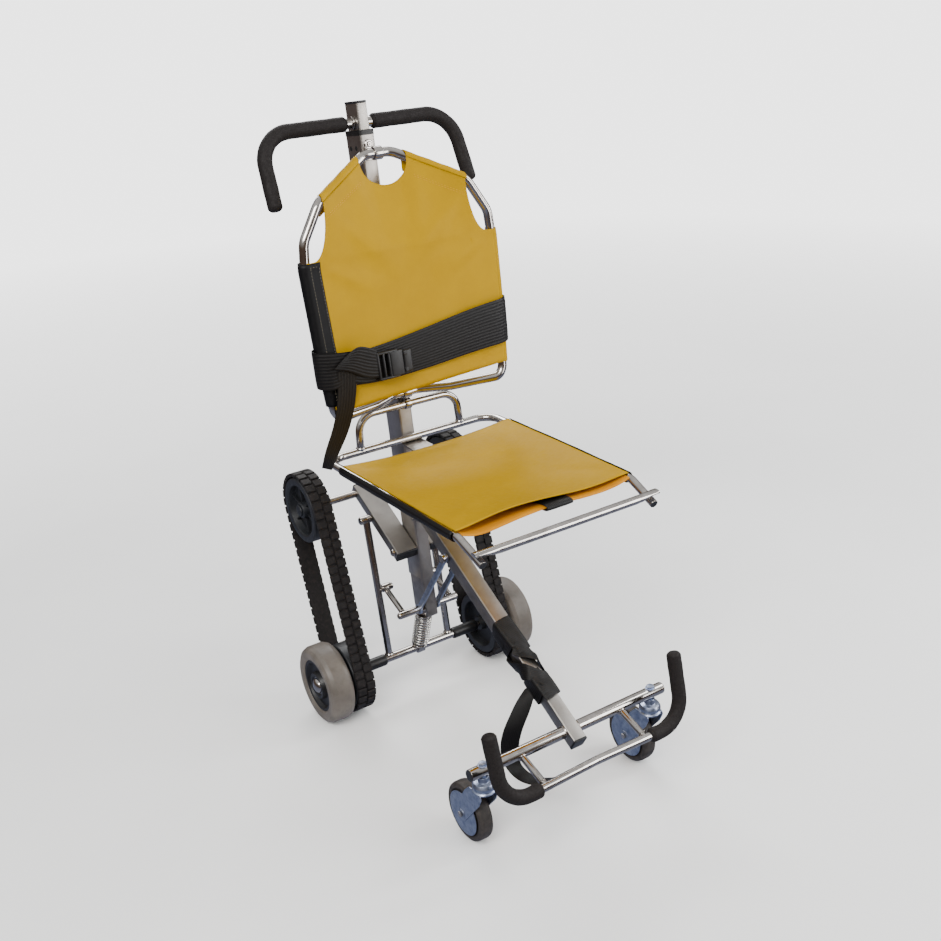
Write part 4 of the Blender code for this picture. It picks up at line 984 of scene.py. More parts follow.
def build_back_edge():
    """The black edge cloth sewn round the left tube, with two rows of pale stitching and a hem."""
    strip = side_pocket(-1.0, 12.6, 225, 27, 770, 1043)
    piece = make("backrest_edge_cloth", strip, "edge", "frame", closed=False)
    thicken(piece, 1.6)
    heights = np.linspace(774, 1038, 50)
    rows = []
    for inner in (24, 6):
        x = -np.interp(heights, SIDE_HEIGHTS, SIDE_OUT) + inner
        y = cover_depth(x * SIDE_X / np.interp(heights, SIDE_HEIGHTS, SIDE_OUT), heights) - 2.8
        if inner == 6:
            y = np.interp(heights, SIDE_HEIGHTS, SIDE_DEPTH) - 13.7
        rows.append(stitches(np.stack((x, y, heights), 1) * MM, 6, 3.4, 0.42))
    for height in (782, 797, 1036):
        x = np.linspace(
            -np.interp(height, SIDE_HEIGHTS, SIDE_OUT) + 3, -np.interp(height, SIDE_HEIGHTS, SIDE_OUT) + 25,
            12
        )
        y = np.full(12, np.interp(height, SIDE_HEIGHTS, SIDE_DEPTH) - 13.8)
        rows.append(stitches(np.stack((x, y, np.full(12, float(height))), 1) * MM, 6, 3.4, 0.42))
    make("edge_cloth_stitches", rows, "thread", "frame")


# ---- lap belt ------------------------------------------------------------------------------------
# Stations of a strap, in millimetres: its middle, half its width, and the way that its face looks.
FRONT = (0, -1, 0)
LAP_BELT_RIGHT = (
    ((196, -62, 860), (0, 0, 44), (-0.3, 1, 0)), ((222, -72, 860), (0, 3, 45), (1, 0.4, 0)),
    ((223, -92, 861), (0, 3, 45), (1, -0.5, 0)), ((205, -107, 860), (0, 6, 45), (0.3, -1, 0)),
    ((150, -107, 857), (0, 6, 44), FRONT), ((90, -105, 850), (0, 6, 42), FRONT),
    ((30, -104, 842), (0, 6, 40), FRONT), ((-20, -104, 837), (0, 5, 38), FRONT),
    ((-70, -105, 833), (0, 5, 36), FRONT), ((-120, -106, 832), (0, 5, 33), FRONT),
    ((-150, -107, 834), (0, 5, 31), FRONT),
)
LAP_BELT_LEFT = (
    ((-96, -115, 829), (0, 4, 25), FRONT), ((-118, -113, 832), (2, 4, 30), FRONT),
    ((-142, -114, 842), (10, 6, 34), (0.2, -1, 0.1)), ((-165, -118, 848), (16, -2, 26), (0.1, -1, -0.3)),
    ((-184, -117, 842), (4, 3, 33), FRONT), ((-208, -113, 842), (0, 5, 36), (-0.3, -1, 0)),
    ((-226, -100, 843), (0, 4, 36), (-1, -0.4, 0)), ((-225, -80, 843), (0, 4, 36), (-1, 0.5, 0)),
    ((-200, -64, 843), (0, 3, 36), (0.3, 1, 0)),
)
LAP_BELT_FOLD = (
    ((-104, -121, 838), (0, 3, 27), FRONT), ((-128, -123, 846), (6, 3, 29), FRONT),
    ((-160, -126, 862), (12, 2, 22), (0.1, -1, 0.2)), ((-186, -121, 858), (14, 1, 10), (0.2, -1, 0.5)),
)
LAP_BELT_END = (
    ((-172, -118, 838), (21, 0, -2), FRONT), ((-176, -119, 800), (20, 0, -3), FRONT),
    ((-183, -117, 760), (20, 2, -4), (0.15, -1, 0)), ((-196, -110, 715), (19, 3, -6), (0.2, -1, 0)),
    ((-214, -104, 678), (17, 5, -8), (0.3, -1, 0)), ((-229, -100, 642), (12, 4, -7), (0.35, -1, 0)),
)


def band(centres, halves, normals, thickness=2.0):
    """A flat strap: at each station its corners lie at centre +- half and +- half the thickness along the
    normal.
    """
    centres, halves, normals = (np.asarray(a, float) for a in (centres, halves, normals))
    normals = unit(normals) * thickness / 2
    across = np.linspace(-1, 1, 14)
    bulge = (1 - across ** 4)[None, :, None]
    top = centres[:, None] + halves[:, None] * across[None, :, None] + normals[:, None] * (0.4 + 0.6 * bulge)
    low = centres[:, None] + halves[:, None] * across[None, ::-1, None] - normals[:, None] * (
        0.4 + 0.6 * bulge
    )
    return grid(np.concatenate((top, low), axis=1) * MM, wrap_u=True, caps=True)


def band_route(stations, rounds=3):
    """Smooths rows of (centre x y z, half width x y z, normal x y z) together."""
    rows = np.array([np.concatenate(row) for row in stations], float)
    for _ in range(rounds):
        a, b = rows[:-1], rows[1:]
        cut = np.stack((a * 0.75 + b * 0.25, a * 0.25 + b * 0.75), axis=1).reshape(-1, rows.shape[1])
        rows = np.concatenate((rows[:1], cut, rows[-1:]))
    return rows[:, :3], rows[:, 3:6], rows[:, 6:]


def build_lap_belt():
    """Wide webbing round both tubes, one half through the side-release buckle and folded over, and its
    hanging end.
    """
    for side, stations in (("right", LAP_BELT_RIGHT), ("left", LAP_BELT_LEFT)):
        centres, halves, normals = band_route(stations)
        make(
                f"lap_belt_{side}", band(centres, halves, normals, 2.4), "belt_web", "frame",
                ("lap_belt_band",) if side == "right" else ()
            )
    fold_over = make("lap_belt_fold", band(*band_route(LAP_BELT_FOLD), 2.2), "belt_web", "frame")
    hanging = make(
        "lap_belt_hanging_end", band(*band_route(LAP_BELT_END), 1.8), "belt_web", "frame",
        ("lap_belt_tail",)
    )


def build_buckle():
    """A side-release buckle: a frame with two windows on the strap's left, and the clip's shell on its
    right.
    """
    up, front = np.array((0, 0.14, 0.99)), np.array((0, -1.0, 0.14))

    def at(x, out, height):
        return mm(x, -113, 830) + front * out * MM + up * height * MM

    body = [block(at(-78, 7, 0), at(-50, 7, 0), 50 * MM, 12 * MM, front, 2.2 * MM)]
    for x in (-104, -92, -80):
        body.append(block(at(x, 7, -26), at(x, 7, 26), 4.6 * MM, 10 * MM, front, 1.6 * MM))
    for height in (-25, 25):
        body.append(block(at(-106, 7, height), at(-60, 7, height), 5 * MM, 10.5 * MM, front, 1.8 * MM))
    make("buckle_frame", body, "black", "frame", ("buckle_body",))
    clip = [block(at(-48.5, 7, 0), at(-30, 7, 0), 44 * MM, 11 * MM, front, 3 * MM)]
    clip.append(block(at(-33, 6, -22), at(-33, 6, 22), 6 * MM, 9 * MM, front, 2 * MM))
    for height in (-17, 17):
        clip.append(block(at(-49, 7, height), at(-41, 7, height), 9 * MM, 12.6 * MM, front, 1.5 * MM))
    make("buckle_prong_shell", clip, "black", "clip", ("buckle_clip",))


# ---- seat ----------------------------------------------------------------------------------------
SEAT_CORNERS = ((-190, -596, 620), (-193, -527, 647), (-197, -300, 641), (-200, -42, 632))
RAIL_DEPTHS = (-596, -527, -300, -42)
RAIL_OUT = (190, 193, 197, 200)
RAIL_HEIGHTS = (620, 647, 641, 632)


def rail(y):
    """Where a side tube's centre runs at depth y: how far out and how high."""
    return np.interp(y, RAIL_DEPTHS, RAIL_OUT), np.interp(y, RAIL_DEPTHS, RAIL_HEIGHTS)


def build_seat_frame():
    """The seat's bent tube with open front ends, its pinched front bar, rear hoop and spine plate."""
    corners = np.array(SEAT_CORNERS) * MM
    route = rounded(np.concatenate((corners, corners[::-1] * (-1, 1, 1))), 40 * MM)
    bar = np.array(
        [mm(x, -589, 637) for x in (-203, -196, -186, -176, -166, -150, 150, 166, 176, 186, 196, 203)]
    )
    flat = np.array((0.5, 0.5, 0.55, 0.72, 0.92, 1, 1, 0.92, 0.72, 0.55, 0.5, 0.5))
    bar[:, 2] += (1 - flat) * SEAT_TUBE
    pinched = swept(
        bar, circle(SEAT_TUBE, 32), over=(0, 0, 1), rim=1 * MM,
        sizes=np.stack((1.25 - 0.25 * flat, flat), 1)
    )
    make("seat_tube", [tube(route, SEAT_TUBE), pinched], "stainless", "seat", ("seat_frame",))
    plugs = []
    for sign in (-1, 1):
        end, near = mm(sign * 190, -596, 620), mm(sign * 190.6, -583, 625)
        plugs.append(disc(7.2, -0.4, 0.9, end, unit(end - near), soften=0.3))
    make("seat_tube_plugs", plugs, "black", "seat")
    hoop = rounded(mirrored([mm(-122, -42, 634), mm(-118, -36, 706), mm(0, -34, 706)]), 48 * MM)
    make("seat_hoop_tube", tube(hoop, SEAT_TUBE), "stainless", "seat", ("seat_hoop",))
    beads = []
    for sign in (-1, 1):
        beads.append(
            turned(
                ((7.6, 0), (10.4, 0), (8.9, 2.4), (7.9, 3.6)), mm(sign * 122, -42, 639.4), (0, 0.02, 1),
                soften=0.6
            )
        )
    make("seat_hoop_welds", beads, "stainless", "seat")
    softened("seat_spine_plate", "plate", "seat", 0.7)
    bracket_on_mast("seat_hinge_saddle", mm(0, -34, 706), 8, 7, "frame")


def seat_height(x, y):
    """Height of the seat cloth: over the rails at its sides, dipping 12 mm in the middle, with slow tension
    waves.
    """
    out, high = rail(y)
    share = np.clip(np.abs(x) / out, 0, 1)
    edge = high + 9.2
    front = np.clip((-y - 370) / 149, 0, 1) ** 2
    dip = 11 * (1 - share ** 2.2) * (1 - 1.15 * front)
    wave = front * (3.2 * np.sin(x / 55 + 2.6) + 1.0) * (1 - share ** 4)
    folds = fold(x, y, (-192, -500), (-60, -380), 18, 1.6) + fold(x, y, (190, -500), (50, -330), 20, 1.5)
    folds += fold(x, y, (-190, -130), (-30, -240), 20, 1.4) + fold(x, y, (190, -130), (40, -230), 18, 1.2)
    return edge - dip + wave + folds


def return_point(u, y):
    """The lower layer: it hangs under the seat cloth, lowest left of the middle of its front edge."""
    out, _ = rail(y)
    down = np.clip((-y - 360) / 169, 0, 1)
    sag = (1 - u ** 6) * (
        6 + down * (7 - 5 * np.sin(u * 2.6 + 0.3) - 2.5 * np.exp(-((u - 0.1) / 0.16) ** 2))
    ) + 2.6
    z = seat_height(u * out, y + 0 * u) - sag
    edge = down * (5 * np.sin(u * 2.8 + 2.6) - 2) * (1 - u ** 4)
    return np.stack((u * out, y + edge, z), axis=-1)


def build_seat_sling():
    """The seat cloth over both rails, its orange lower layer drooping at the front, and the black edge
    webbing.
    """
    y = np.linspace(-112, -519, 64)[:, None]
    u = np.linspace(-1, 1, 84)[None, :]
    out, _ = rail(y)
    x = u * out
    front_edge = np.clip((-y - 430) / 89, 0, 1) * (6 * np.sin(u * 2.9 + 3.0) + 1.5) * (1 - u ** 4)
    z = seat_height(x, y + 0 * u)
    hem = 1.0 * np.exp(-((y + 118) / 2.0) ** 2) + 1.0 * np.exp(-((y + 511) / 2.2) ** 2)
    top = grid(np.stack((x, y + front_edge, z + hem), axis=2) * MM)
    piece = thicken(make("seat_cloth", top, "vinyl", "seat", ("seat_sling",), closed=False), 1.5)
    low = grid(
        return_point(np.linspace(-0.985, 0.985, 84)[None, :], np.linspace(-360, -529, 30)[:, None]) * MM
    )
    lower = thicken(make("seat_cloth_return", low, "return", "seat", closed=False), 1.3)
    for side, sign in SIDES:
        edging = thicken(
            make(f"seat_edge_webbing_{side}", rail_wrap(sign), "strap_web", "seat", closed=False), 1.5
        )
    spots = [return_point(0.1, depth) for depth in (-440, -490, -514, -529, -529, -505, -470)]
    shifts = ((0, 2.6), (0, 2.8), (0, 3.6), (-7, 4.5), (-8, -5.5), (0, -6.0), (0, -5.0))
    normals = ((0, 0, 1), (0, 0, 1), (0, -0.4, 1), (0, -1, 0.8), (0, -1, -0.8), (0, -0.2, -1), (0, 0, -1))
    strap = []
    for spot, (ahead, lift), normal in zip(spots, shifts, normals):
        strap.append((spot + (0, ahead, lift), (28, -1, 0.5), normal))
    loop = make("seat_front_strap", band(*band_route(strap), 2.4), "strap_web", "seat")


def rail_wrap(sign):
    """Webbing rolled round a rail: from just past the crown, round the outside and under."""
    y = np.linspace(-113, -518, 60)
    out, high = rail(y)
    spine = np.stack((out * sign, y, high), 1)
    turn = np.radians(np.linspace(28, 215, 22))[None, :, None]
    up, side = np.array((0, 0, 1.0)), np.array((sign, 0, 0.0))
    wobble = 1 + 0.02 * np.sin(np.linspace(0, 23, 60))[:, None, None]
    return grid((spine[:, None] + 10.4 * wobble * (np.cos(turn) * up + np.sin(turn) * side)) * MM)


# ---- front leg and brace -------------------------------------------------------------------------
def build_leg():
    """The telescopic leg's two box tubes, its end cap, hinge bracket and pins, and the folding brace."""
    outer = box_tube(LEG_SECTION, [on_leg(0, 0, -14), on_leg(0, 0, 318)], LEG_OUT)
    make("leg_upper_tube", outer, "satin", "leg", ("leg_outer_tube",))
    inner = box_tube(LEG_SLIDER_SECTION, [on_leg(0, 0, 190), on_leg(0, 0, 606)], LEG_OUT)
    make("leg_lower_tube", inner, "satin", "foot", ("leg_inner_tube",))
    cap = [block(on_leg(0, 0, 606.3), on_leg(0, 0, 610.5), 30.4 * MM, 30.4 * MM, LEG_OUT, 3 * MM, 1.4 * MM)]
    make("leg_end_cap", cap, "black", "foot")
    softened("leg_hinge_bracket", "plate", "frame", 0.6)
    heads = []
    for sign in (-1, 1):
        heads.append(dome(8, 4.5, LEG_PIN + ACROSS * sign * 25.5 * MM, ACROSS * sign))
    make("leg_pin_heads", heads, "stainless", "frame")
    pin = [tube(np.array((BRACE_PIN - ACROSS * 33 * MM, BRACE_PIN + ACROSS * 33 * MM)), 6 * MM)]
    for sign in (-1, 1):
        pin.append(
            turned(
                ((6.2, 0), (9.5, 0), (9.5, 6.5), (6.2, 6.5)), BRACE_PIN + ACROSS * sign * 26.6 * MM,
                ACROSS * sign
            )
        )
    make("brace_pin_bar", pin, "stainless", "leg", ("brace_pin",))
    for side, sign in SIDES:
        x = ACROSS * sign * 23 * MM
        run = unit(CROSS_ROD - BRACE_PIN)
        link = [
            block(
                BRACE_PIN + x + run * 7 * MM, CROSS_ROD + x - run * 9 * MM, 6 * MM, 14 * MM,
                np.cross(run, ACROSS), 1.6 * MM
            )
        ]
        link.append(turned(((6.4, -3), (9, -3), (9, 3), (6.4, 3)), BRACE_PIN + x))
        link.append(turned(((8.4, -3), (11.5, -3), (11.5, 3), (8.4, 3)), CROSS_ROD + x))
        make(f"brace_link_bar_{side}", link, "zinc", "brace", (f"brace_link_{side}",))
    rod = [
        tube(np.array((CROSS_ROD - ACROSS * 79 * MM, CROSS_ROD + ACROSS * 79 * MM)), 8 * MM, rim=6.5 * MM)
    ]
    make("cross_rod_bar", rod, "stainless", "brace", ("cross_rod",))
    reach = unit(CROSS_ROD - LOCK_PIVOT)
    for side, sign in SIDES:
        centre = LOCK_PIVOT + ACROSS * sign * 62 * MM
        tip = CROSS_ROD + ACROSS * sign * 62 * MM - reach * 8.7 * MM
        sleeve = turned(((5.4, -10), (9, -10), (9, 10), (5.4, 10)), LOCK_PIVOT + ACROSS * sign * 60 * MM)
        arm = [sleeve, tube(np.array((centre + reach * 6 * MM, tip)), 6.5 * MM, rim=1 * MM)]
        make(f"lock_arm_bar_{side}", arm, "stainless", "lock_arms", (f"lock_arm_{side}",))


def square_turn(turn, half):
    """A rounded square: half / (|cos| to the 7th + |sin| to the 7th) to the 1/7 out from the middle."""
    out = half / (np.abs(np.cos(turn)) ** 7 + np.abs(np.sin(turn)) ** 7) ** (1 / 7)
    return out * np.cos(turn), out * np.sin(turn)


def leg_wrap(start, end, turns, first, half_width, half=17.0, thickness=2.0):
    """Webbing wound round the square leg: its middle climbs from start to end in so many turns."""
    share = np.linspace(0, 1, int(60 * abs(turns)) + 2)
    turn = first + share * turns * 2 * math.pi
    lift = half + 1.2 * np.sin(share * 9) ** 2
    x, out = square_turn(turn, lift)
    along = start + (end - start) * share
    centres = (
        LEG_PIN / MM
    )[None] + x[:, None] * ACROSS + out[:, None] * LEG_OUT + along[:, None] * LEG_ALONG
    tangent = unit(np.gradient(centres, axis=0))
    normals = unit(np.cos(turn)[:, None] * ACROSS + np.sin(turn)[:, None] * LEG_OUT)
    halves = unit(np.cross(tangent, normals)) * (half_width * (1 + 0.12 * np.sin(share * 14)))[:, None]
    return band(centres, halves, normals, thickness)


LEG_STRAP_END = (
    ((-14, -470, 238), (9, -7, 8), (-0.5, -0.7, 0.5)), ((-32, -478, 222), (15, -11, 9), (-0.5, -0.8, 0.3)),
    ((-50, -482, 194), (18, -11, 6), (-0.5, -0.8, 0.1)), ((-70, -482, 160), (16, -10, 0), (-0.5, -0.8, 0)),
    ((-78, -480, 122), (16, -9, -3), (-0.5, -0.8, 0)), ((-78, -486, 86), (16, -7, -3), (-0.4, -0.8, 0.6)),
    ((-70, -516, 68), (17, -3, 0), (-0.2, -0.3, 1)), ((-62, -560, 80), (17, 2, 0), (0, -0.3, 1)),
    ((-54, -606, 112), (17, 3, 0), (0, -0.6, 1)), ((-46, -640, 142), (16, 4, 0), (0, -0.8, 0.6)),
)


def build_leg_strap():
    """The leg strap: webbing wound and crossed round the leg, and its loose end looping behind the cross
    tube.
    """
    wraps = [
        leg_wrap(334, 376, 2.3, 0.4, 21, 19.6), leg_wrap(382, 474, -0.54, 2.2, 15, 19.4, 2.4),
        leg_wrap(388, 470, -0.5, 4.5, 15, 20.6, 2.4), leg_wrap(460, 490, 2.2, 1.2, 19, 19.4),
    ]
    wrap = make("leg_strap_winding", wraps, "strap_web", "foot", ("leg_strap_wrap",))
    loose = make(
        "leg_strap_loose_end", band(*band_route(LEG_STRAP_END), 2.0), "strap_web", "foot",
        ("leg_strap_tail",)
    )


# ---- foot frame and casters ----------------------------------------------------------------------
def build_foot_frame():
    """The cross tube, two short tubes and the bent front rail, with foam sleeves on the upturned ends."""
    span = ACROSS * 232 * MM
    rail_route = rounded(mirrored([mm(-218, -627, 305), mm(-214, -664, 163), mm(0, -659, 165)]), 60 * MM)
    parts = [tube(np.array((FOOT_TUBE - span, FOOT_TUBE + span)), FOOT_CROSS_TUBE, sides=40)]
    for sign in (-1, 1):
        x = sign * FOOT_STRUT_X
        parts.append(tube(np.array((mm(x, -578, 189), mm(x, -661, 165))), FOOT_STRUT))
    parts.append(tube(shortened(rail_route), FOOT_RAIL))
    make("foot_tubes", parts, "stainless", "foot", ("foot_frame",))
    plugs, welds = [], []
    for sign in (-1, 1):
        x = sign * FOOT_STRUT_X
        plugs.append(disc(11.2, -1, 1.6, FOOT_TUBE + span * sign, ACROSS * sign, soften=0.6))
        slope = unit(mm(0, -83, -24))
        welds.append(
            turned(((6.8, 0), (9.6, 0), (8.2, 2.2), (7.1, 3.4)), mm(x, -589.5, 185.7), slope, soften=0.6)
        )
        welds.append(
            turned(((6.8, 0), (9.4, 0), (8.0, 2.2), (7.1, 3.2)), mm(x, -652.6, 167.4), -slope, soften=0.6)
        )
        welds.append(
            turned(
                ((11.9, 0), (14.2, 0), (12.9, 2), (12.1, 3)), FOOT_TUBE + ACROSS * sign * 15.2 * MM,
                ACROSS * sign, soften=0.6
            )
        )
    make("foot_tube_plugs", plugs, "black", "foot")
    make("foot_tube_welds", welds, "stainless", "foot")
    for side, sign in SIDES:
        sleeve = foam_sleeve(half_of(rail_route, sign, 129 * MM))
        make(f"foot_foam_{side}", sleeve, "foam", "foot", (f"foot_grip_{side}",))


def build_casters():
    """Swivel casters: stem and bolt, turned cup and race, fork cheeks with round thread guards, tyre and
    axle.
    """
    for side, sign in SIDES:
        x = sign * CASTER_X
        stem, up = mm(x, CASTER_STEM_Y, 0), np.array((0, 0, 1.0))
        mount = [
            turned(
                ((0.5, 150), (20, 150), (22, 153), (22, 158), (19, 164), (11, 166), (10, 176), (0.5, 176)),
                stem, up
            ),
            turned(((0.5, 170), (5.2, 170), (5.2, 201), (0.5, 201)), stem, up, 32),
            hexagon(mm(x, CASTER_STEM_Y, 201), 8, 5.5),
            turned(((0.5, 200.6), (10, 200.6), (10, 202), (0.5, 202)), stem, up, 40),
        ]
        make(f"caster_cup_{side}", mount, "zinc", "foot", (f"caster_mount_{side}",))
        centre = mm(x, *CASTER_AXLE)
        fork = [turned(((0.5, 142), (20, 142), (23, 144.5), (23, 147), (20, 149.4), (0.5, 149.4)), stem, up)]
        for way in (-1, 1):
            fork.append(cheek(x + way * 19))
            fork.append(disc(46, 16.1, 17.3, centre, ACROSS * way, steps=72, soften=0.4))
            fork.append(turned(((0.5, 17), (12, 17), (11, 21.4), (0.5, 21.4)), centre, ACROSS * way))
        fork.append(
            tube(np.array((centre - ACROSS * 24 * MM, centre + ACROSS * 24 * MM)), 4.2 * MM, sides=24)
        )
        make(f"caster_fork_shell_{side}", fork, "zinc", f"fork_{side}", (f"caster_fork_{side}",))
        nuts = [hexagon(centre + ACROSS * way * 21.5 * MM, 6.2, 4.0, ACROSS * way) for way in (-1, 1)]
        make(f"caster_axle_nuts_{side}", nuts, "stainless", f"fork_{side}")
        tyre = turned((
            (49, 14.6), (55, 15.2), (59.5, 12.5), (61, 7), (61, -7), (59.5, -12.5), (55, -15.2), (49, -14.6),
            (47.5, -10), (5.4, -10), (5.4, 10), (47.5, 10),
        ), centre, steps=96, soften=2.2)
        make(f"caster_tyre_{side}", tyre, "caster", f"front_wheel_{side}", (f"caster_wheel_{side}",))


def cheek(x):
    """A pressed fork cheek: a flat plate that narrows from the crown to a round end at the wheel's axle."""
    turn = np.radians(np.linspace(205, 385, 26))
    low = np.array(CASTER_AXLE) + 15 * np.stack((np.cos(turn), np.sin(turn)), 1)
    outline = np.concatenate(
        (
            np.array(((-596, 147), (-597, 138), (-588, 118))), low,
            np.array(((-521, 96), (-540, 128), (-557, 147)))
        )
    )
    ring = rounded(np.column_stack((outline, np.zeros(len(outline)))), 6, closed=True, turn_step=14)
    rows = []
    for offset, inset in ((-1.5, 0.7), (-0.9, 0), (0.9, 0), (1.5, 0.7)):
        middle_point = ring.mean(0)
        size = 1 - inset / 40
        spot = middle_point + (ring - middle_point) * size
        rows.append(np.stack((np.full(len(ring), x + offset), spot[:, 0], spot[:, 1]), 1))
    return grid(np.array(rows) * MM, wrap_u=True, caps=True)


def hexagon(base, radius, height, axis=(0, 0, 1.0)):
    """A nut: a six-sided prism with its top edge eased."""
    axis = unit(np.asarray(axis, float))
    ring = circle(radius * MM, 6)
    return swept(
        np.array((base, base + axis * height * MM)), ring, over=unit(np.cross(axis, (0.3, 0.5, 0.81))),
        rim=0.7 * MM
    )


# ---- rear axle, wheels and tracks ----------------------------------------------------------------
def build_rear_axle():
    """The axle tube with its black end sleeves, the axle's dome nuts, and the two rear wheels."""
    half = ACROSS * 160 * MM
    make(
        "axle_tube_skin", tube(np.array((AXLE - half, AXLE + half)), AXLE_TUBE, sides=40), "stainless",
        "frame", ("axle_tube",)
    )
    for side, sign in SIDES:
        sleeve = turned(
            ((9.8, 92), (12.6, 92), (13.4, 96), (13.4, 150), (12.2, 158), (9.8, 158)), AXLE, ACROSS * sign
        )
        make(f"axle_sleeve_{side}", sleeve, "black", "frame")
        tyre = turned((
            (60, 268), (65, 270.5), (79, 270.5), (86, 266), (90, 257), (90, 227), (86, 218), (79, 213.5),
            (65, 213.5), (60, 216),
        ), AXLE, ACROSS * sign, 128, 3.0)
        make(f"rear_tyre_{side}", tyre, "tyre", f"back_wheel_{side}", (f"rear_wheel_{side}",))
        core = turned((
            (6.4, 263), (20, 263), (23, 268), (30, 268.5), (33, 258), (50, 258), (54, 266), (60.2, 267),
            (60.2, 216),
            (55, 216), (51, 224), (20, 224), (18, 214), (6.4, 214),
        ), AXLE, ACROSS * sign, 96, 1.2)
        make(f"rear_wheel_core_{side}", core, "black", f"back_wheel_{side}")
    rod = [tube(np.array((AXLE - ACROSS * 264 * MM, AXLE + ACROSS * 264 * MM)), 6 * MM)]
    for sign in (-1, 1):
        rod.append(dome(18, 11.0, AXLE + ACROSS * sign * 263.8 * MM, ACROSS * sign))
        rod.append(turned(((0.5, 263.3), (19.6, 263.3), (19.6, 265.0), (0.5, 265.0)), AXLE, ACROSS * sign))
    make("rear_axle_caps", rod, "stainless", "frame", ("rear_axle",))


def belt_point(distance, offset, x):
    """A point on the belt: straight, half circle, straight, half circle, offset from the line round both
    centres.
    """
    span = TRACK_TOP - AXLE
    length = np.linalg.norm(span)
    along = span / length
    out = np.array((0, along[2], -along[1]))
    arc = math.pi * BELT_LINE
    distance = np.mod(distance, 2 * length + 2 * arc)
    first, second, third = length, length + arc, 2 * length + arc
    up_run, top, down_run = distance < first, distance < second, distance < third
    low_turn = np.where(down_run, math.pi, math.pi + (distance - third) / BELT_LINE)
    turn = np.where(up_run, 0, np.where(top, (distance - first) / BELT_LINE, low_turn))
    run = np.where(
        up_run, distance, np.where(top, first, np.where(down_run, length - (distance - second), 0))
    )
    normal = np.cos(turn)[..., None] * out + np.sin(turn)[..., None] * along
    return AXLE * (0, 1, 1) + run[..., None] * along + normal * offset[..., None] + x[..., None] * ACROSS


def belt_length():
    return 2 * np.linalg.norm(TRACK_TOP - AXLE) + 2 * math.pi * BELT_LINE


def belt_carcass(sign):
    """The belt's body: a rounded strip carried round the loop, with a raised rib down the middle of its
    inside.
    """
    section = np.array((
        (-19.4, 76.4), (-20.2, 77.2), (-20.2, 80.2), (-19.6, 81), (19.6, 81), (20.2, 80.2), (20.2, 77.2),
        (19.4, 76.4),
    ))
    distance = np.linspace(0, belt_length(), 241)[:-1]
    shape = (len(distance), len(section))
    run = np.broadcast_to(distance[:, None], shape)
    offset = np.broadcast_to(section[None, :, 1] * MM, shape)
    x = np.broadcast_to((section[None, :, 0] + TRACK_X * sign) * MM, shape)
    return grid(belt_point(run, offset, x), wrap_u=True, wrap_v=True)


def belt_blocks(sign, pitch):
    """Tread blocks in two staggered columns; each is a frustum from the carcass with its top edge stepped
    in.
    """
    count = round(belt_length() / (pitch * MM))
    step = belt_length() / count
    levels = ((77.6, 0.6), (83.6, 0.0), (85.0, 1.4))
    parts = []
    for column, shift in ((-11.4, 0.0), (11.4, 0.5)):
        centre = (np.arange(count) + shift) * step
        rings = []
        for offset, inset in levels:
            half_run, half_x = step * 0.4 - inset * MM, 10.6 * MM - inset * MM
            run = centre[:, None] + np.array((-1, 1, 1, -1)) * half_run
            x = np.broadcast_to(
                (TRACK_X * sign + column) * MM + np.array((-1, -1, 1, 1)) * half_x, run.shape
            )
            rings.append(belt_point(run, np.full(run.shape, offset * MM), x))
        points = np.stack(rings, axis=1).reshape(-1, 3)
        k = np.arange(4)
        quads = [
            np.stack((r * 4 + k, r * 4 + (k + 1) % 4, (r + 1) * 4 + (k + 1) % 4, (r + 1) * 4 + k), 1)
            for r in range(2)
        ]
        one = np.concatenate(quads + [np.array(((8, 9, 10, 11), (3, 2, 1, 0)))])
        faces = (one[None] + (np.arange(count) * 12)[:, None, None]).reshape(-1, 4).tolist()
        corner = np.array(((0, 0), (0.01, 0), (0.01, 0.01), (0, 0.01)))
        parts.append((points, faces, [corner] * len(faces)))
    return parts


def pulley(centre, sign, hub):
    """A belt pulley: rim with an outer flange, a deep recess with six ribs, and a hub."""
    outline = (
        (hub, 205), (16, 205), (18, 203), (19, 190), (55, 190), (57, 204), (60, 206.5), (72, 206.5),
        (74, 204), (74, 166),
        (72, 164), (57, 164), (55, 180), (19, 180), (16, 166), (hub, 166),
    )
    parts = [turned(outline, centre * (0, 1, 1), ACROSS * sign, 96, 1.2)]
    for k in range(6):
        turn = k * math.pi / 3 + 0.3
        way = np.array((0, math.cos(turn), math.sin(turn)))
        base = centre * (0, 1, 1) + ACROSS * sign * 193 * MM
        parts.append(
            block(base + way * 15 * MM, base + way * 58 * MM, 8 * MM, 4 * MM, np.cross(way, ACROSS), 1 * MM)
        )
    return parts


def build_tracks():
    """Rubber tracks: carcass and tread blocks round an upper and a lower pulley on each side."""
    for side, sign in SIDES:
        rubber = [belt_carcass(sign)] + belt_blocks(sign, settings().tread_pitch * 1000)
        make(f"track_rubber_{side}", rubber, "belt", "frame", (f"track_belt_{side}",), sharp=28)
        make(
            f"track_pulley_upper_{side}", pulley(TRACK_TOP, sign, 8.4), "pulley", f"pulley_upper_{side}",
            (f"upper_pulley_{side}",)
        )
        make(
            f"track_pulley_lower_{side}", pulley(AXLE, sign, 6.4), "pulley", f"pulley_lower_{side}",
            (f"lower_pulley_{side}",)
        )
        cap = turned(
            ((0.5, 205.5), (13, 205.5), (12, 208.6), (0.5, 209.4)), TRACK_TOP * (0, 1, 1), ACROSS * sign
        )
        make(f"track_shaft_cap_{side}", cap, "pulley", "frame")
    half = ACROSS * 205 * MM
    make(
        "track_cross_bar", tube(np.array((TRACK_TOP - half, TRACK_TOP + half)), CROSS_BAR), "stainless",
        "frame", ("upper_cross_tube",)
    )


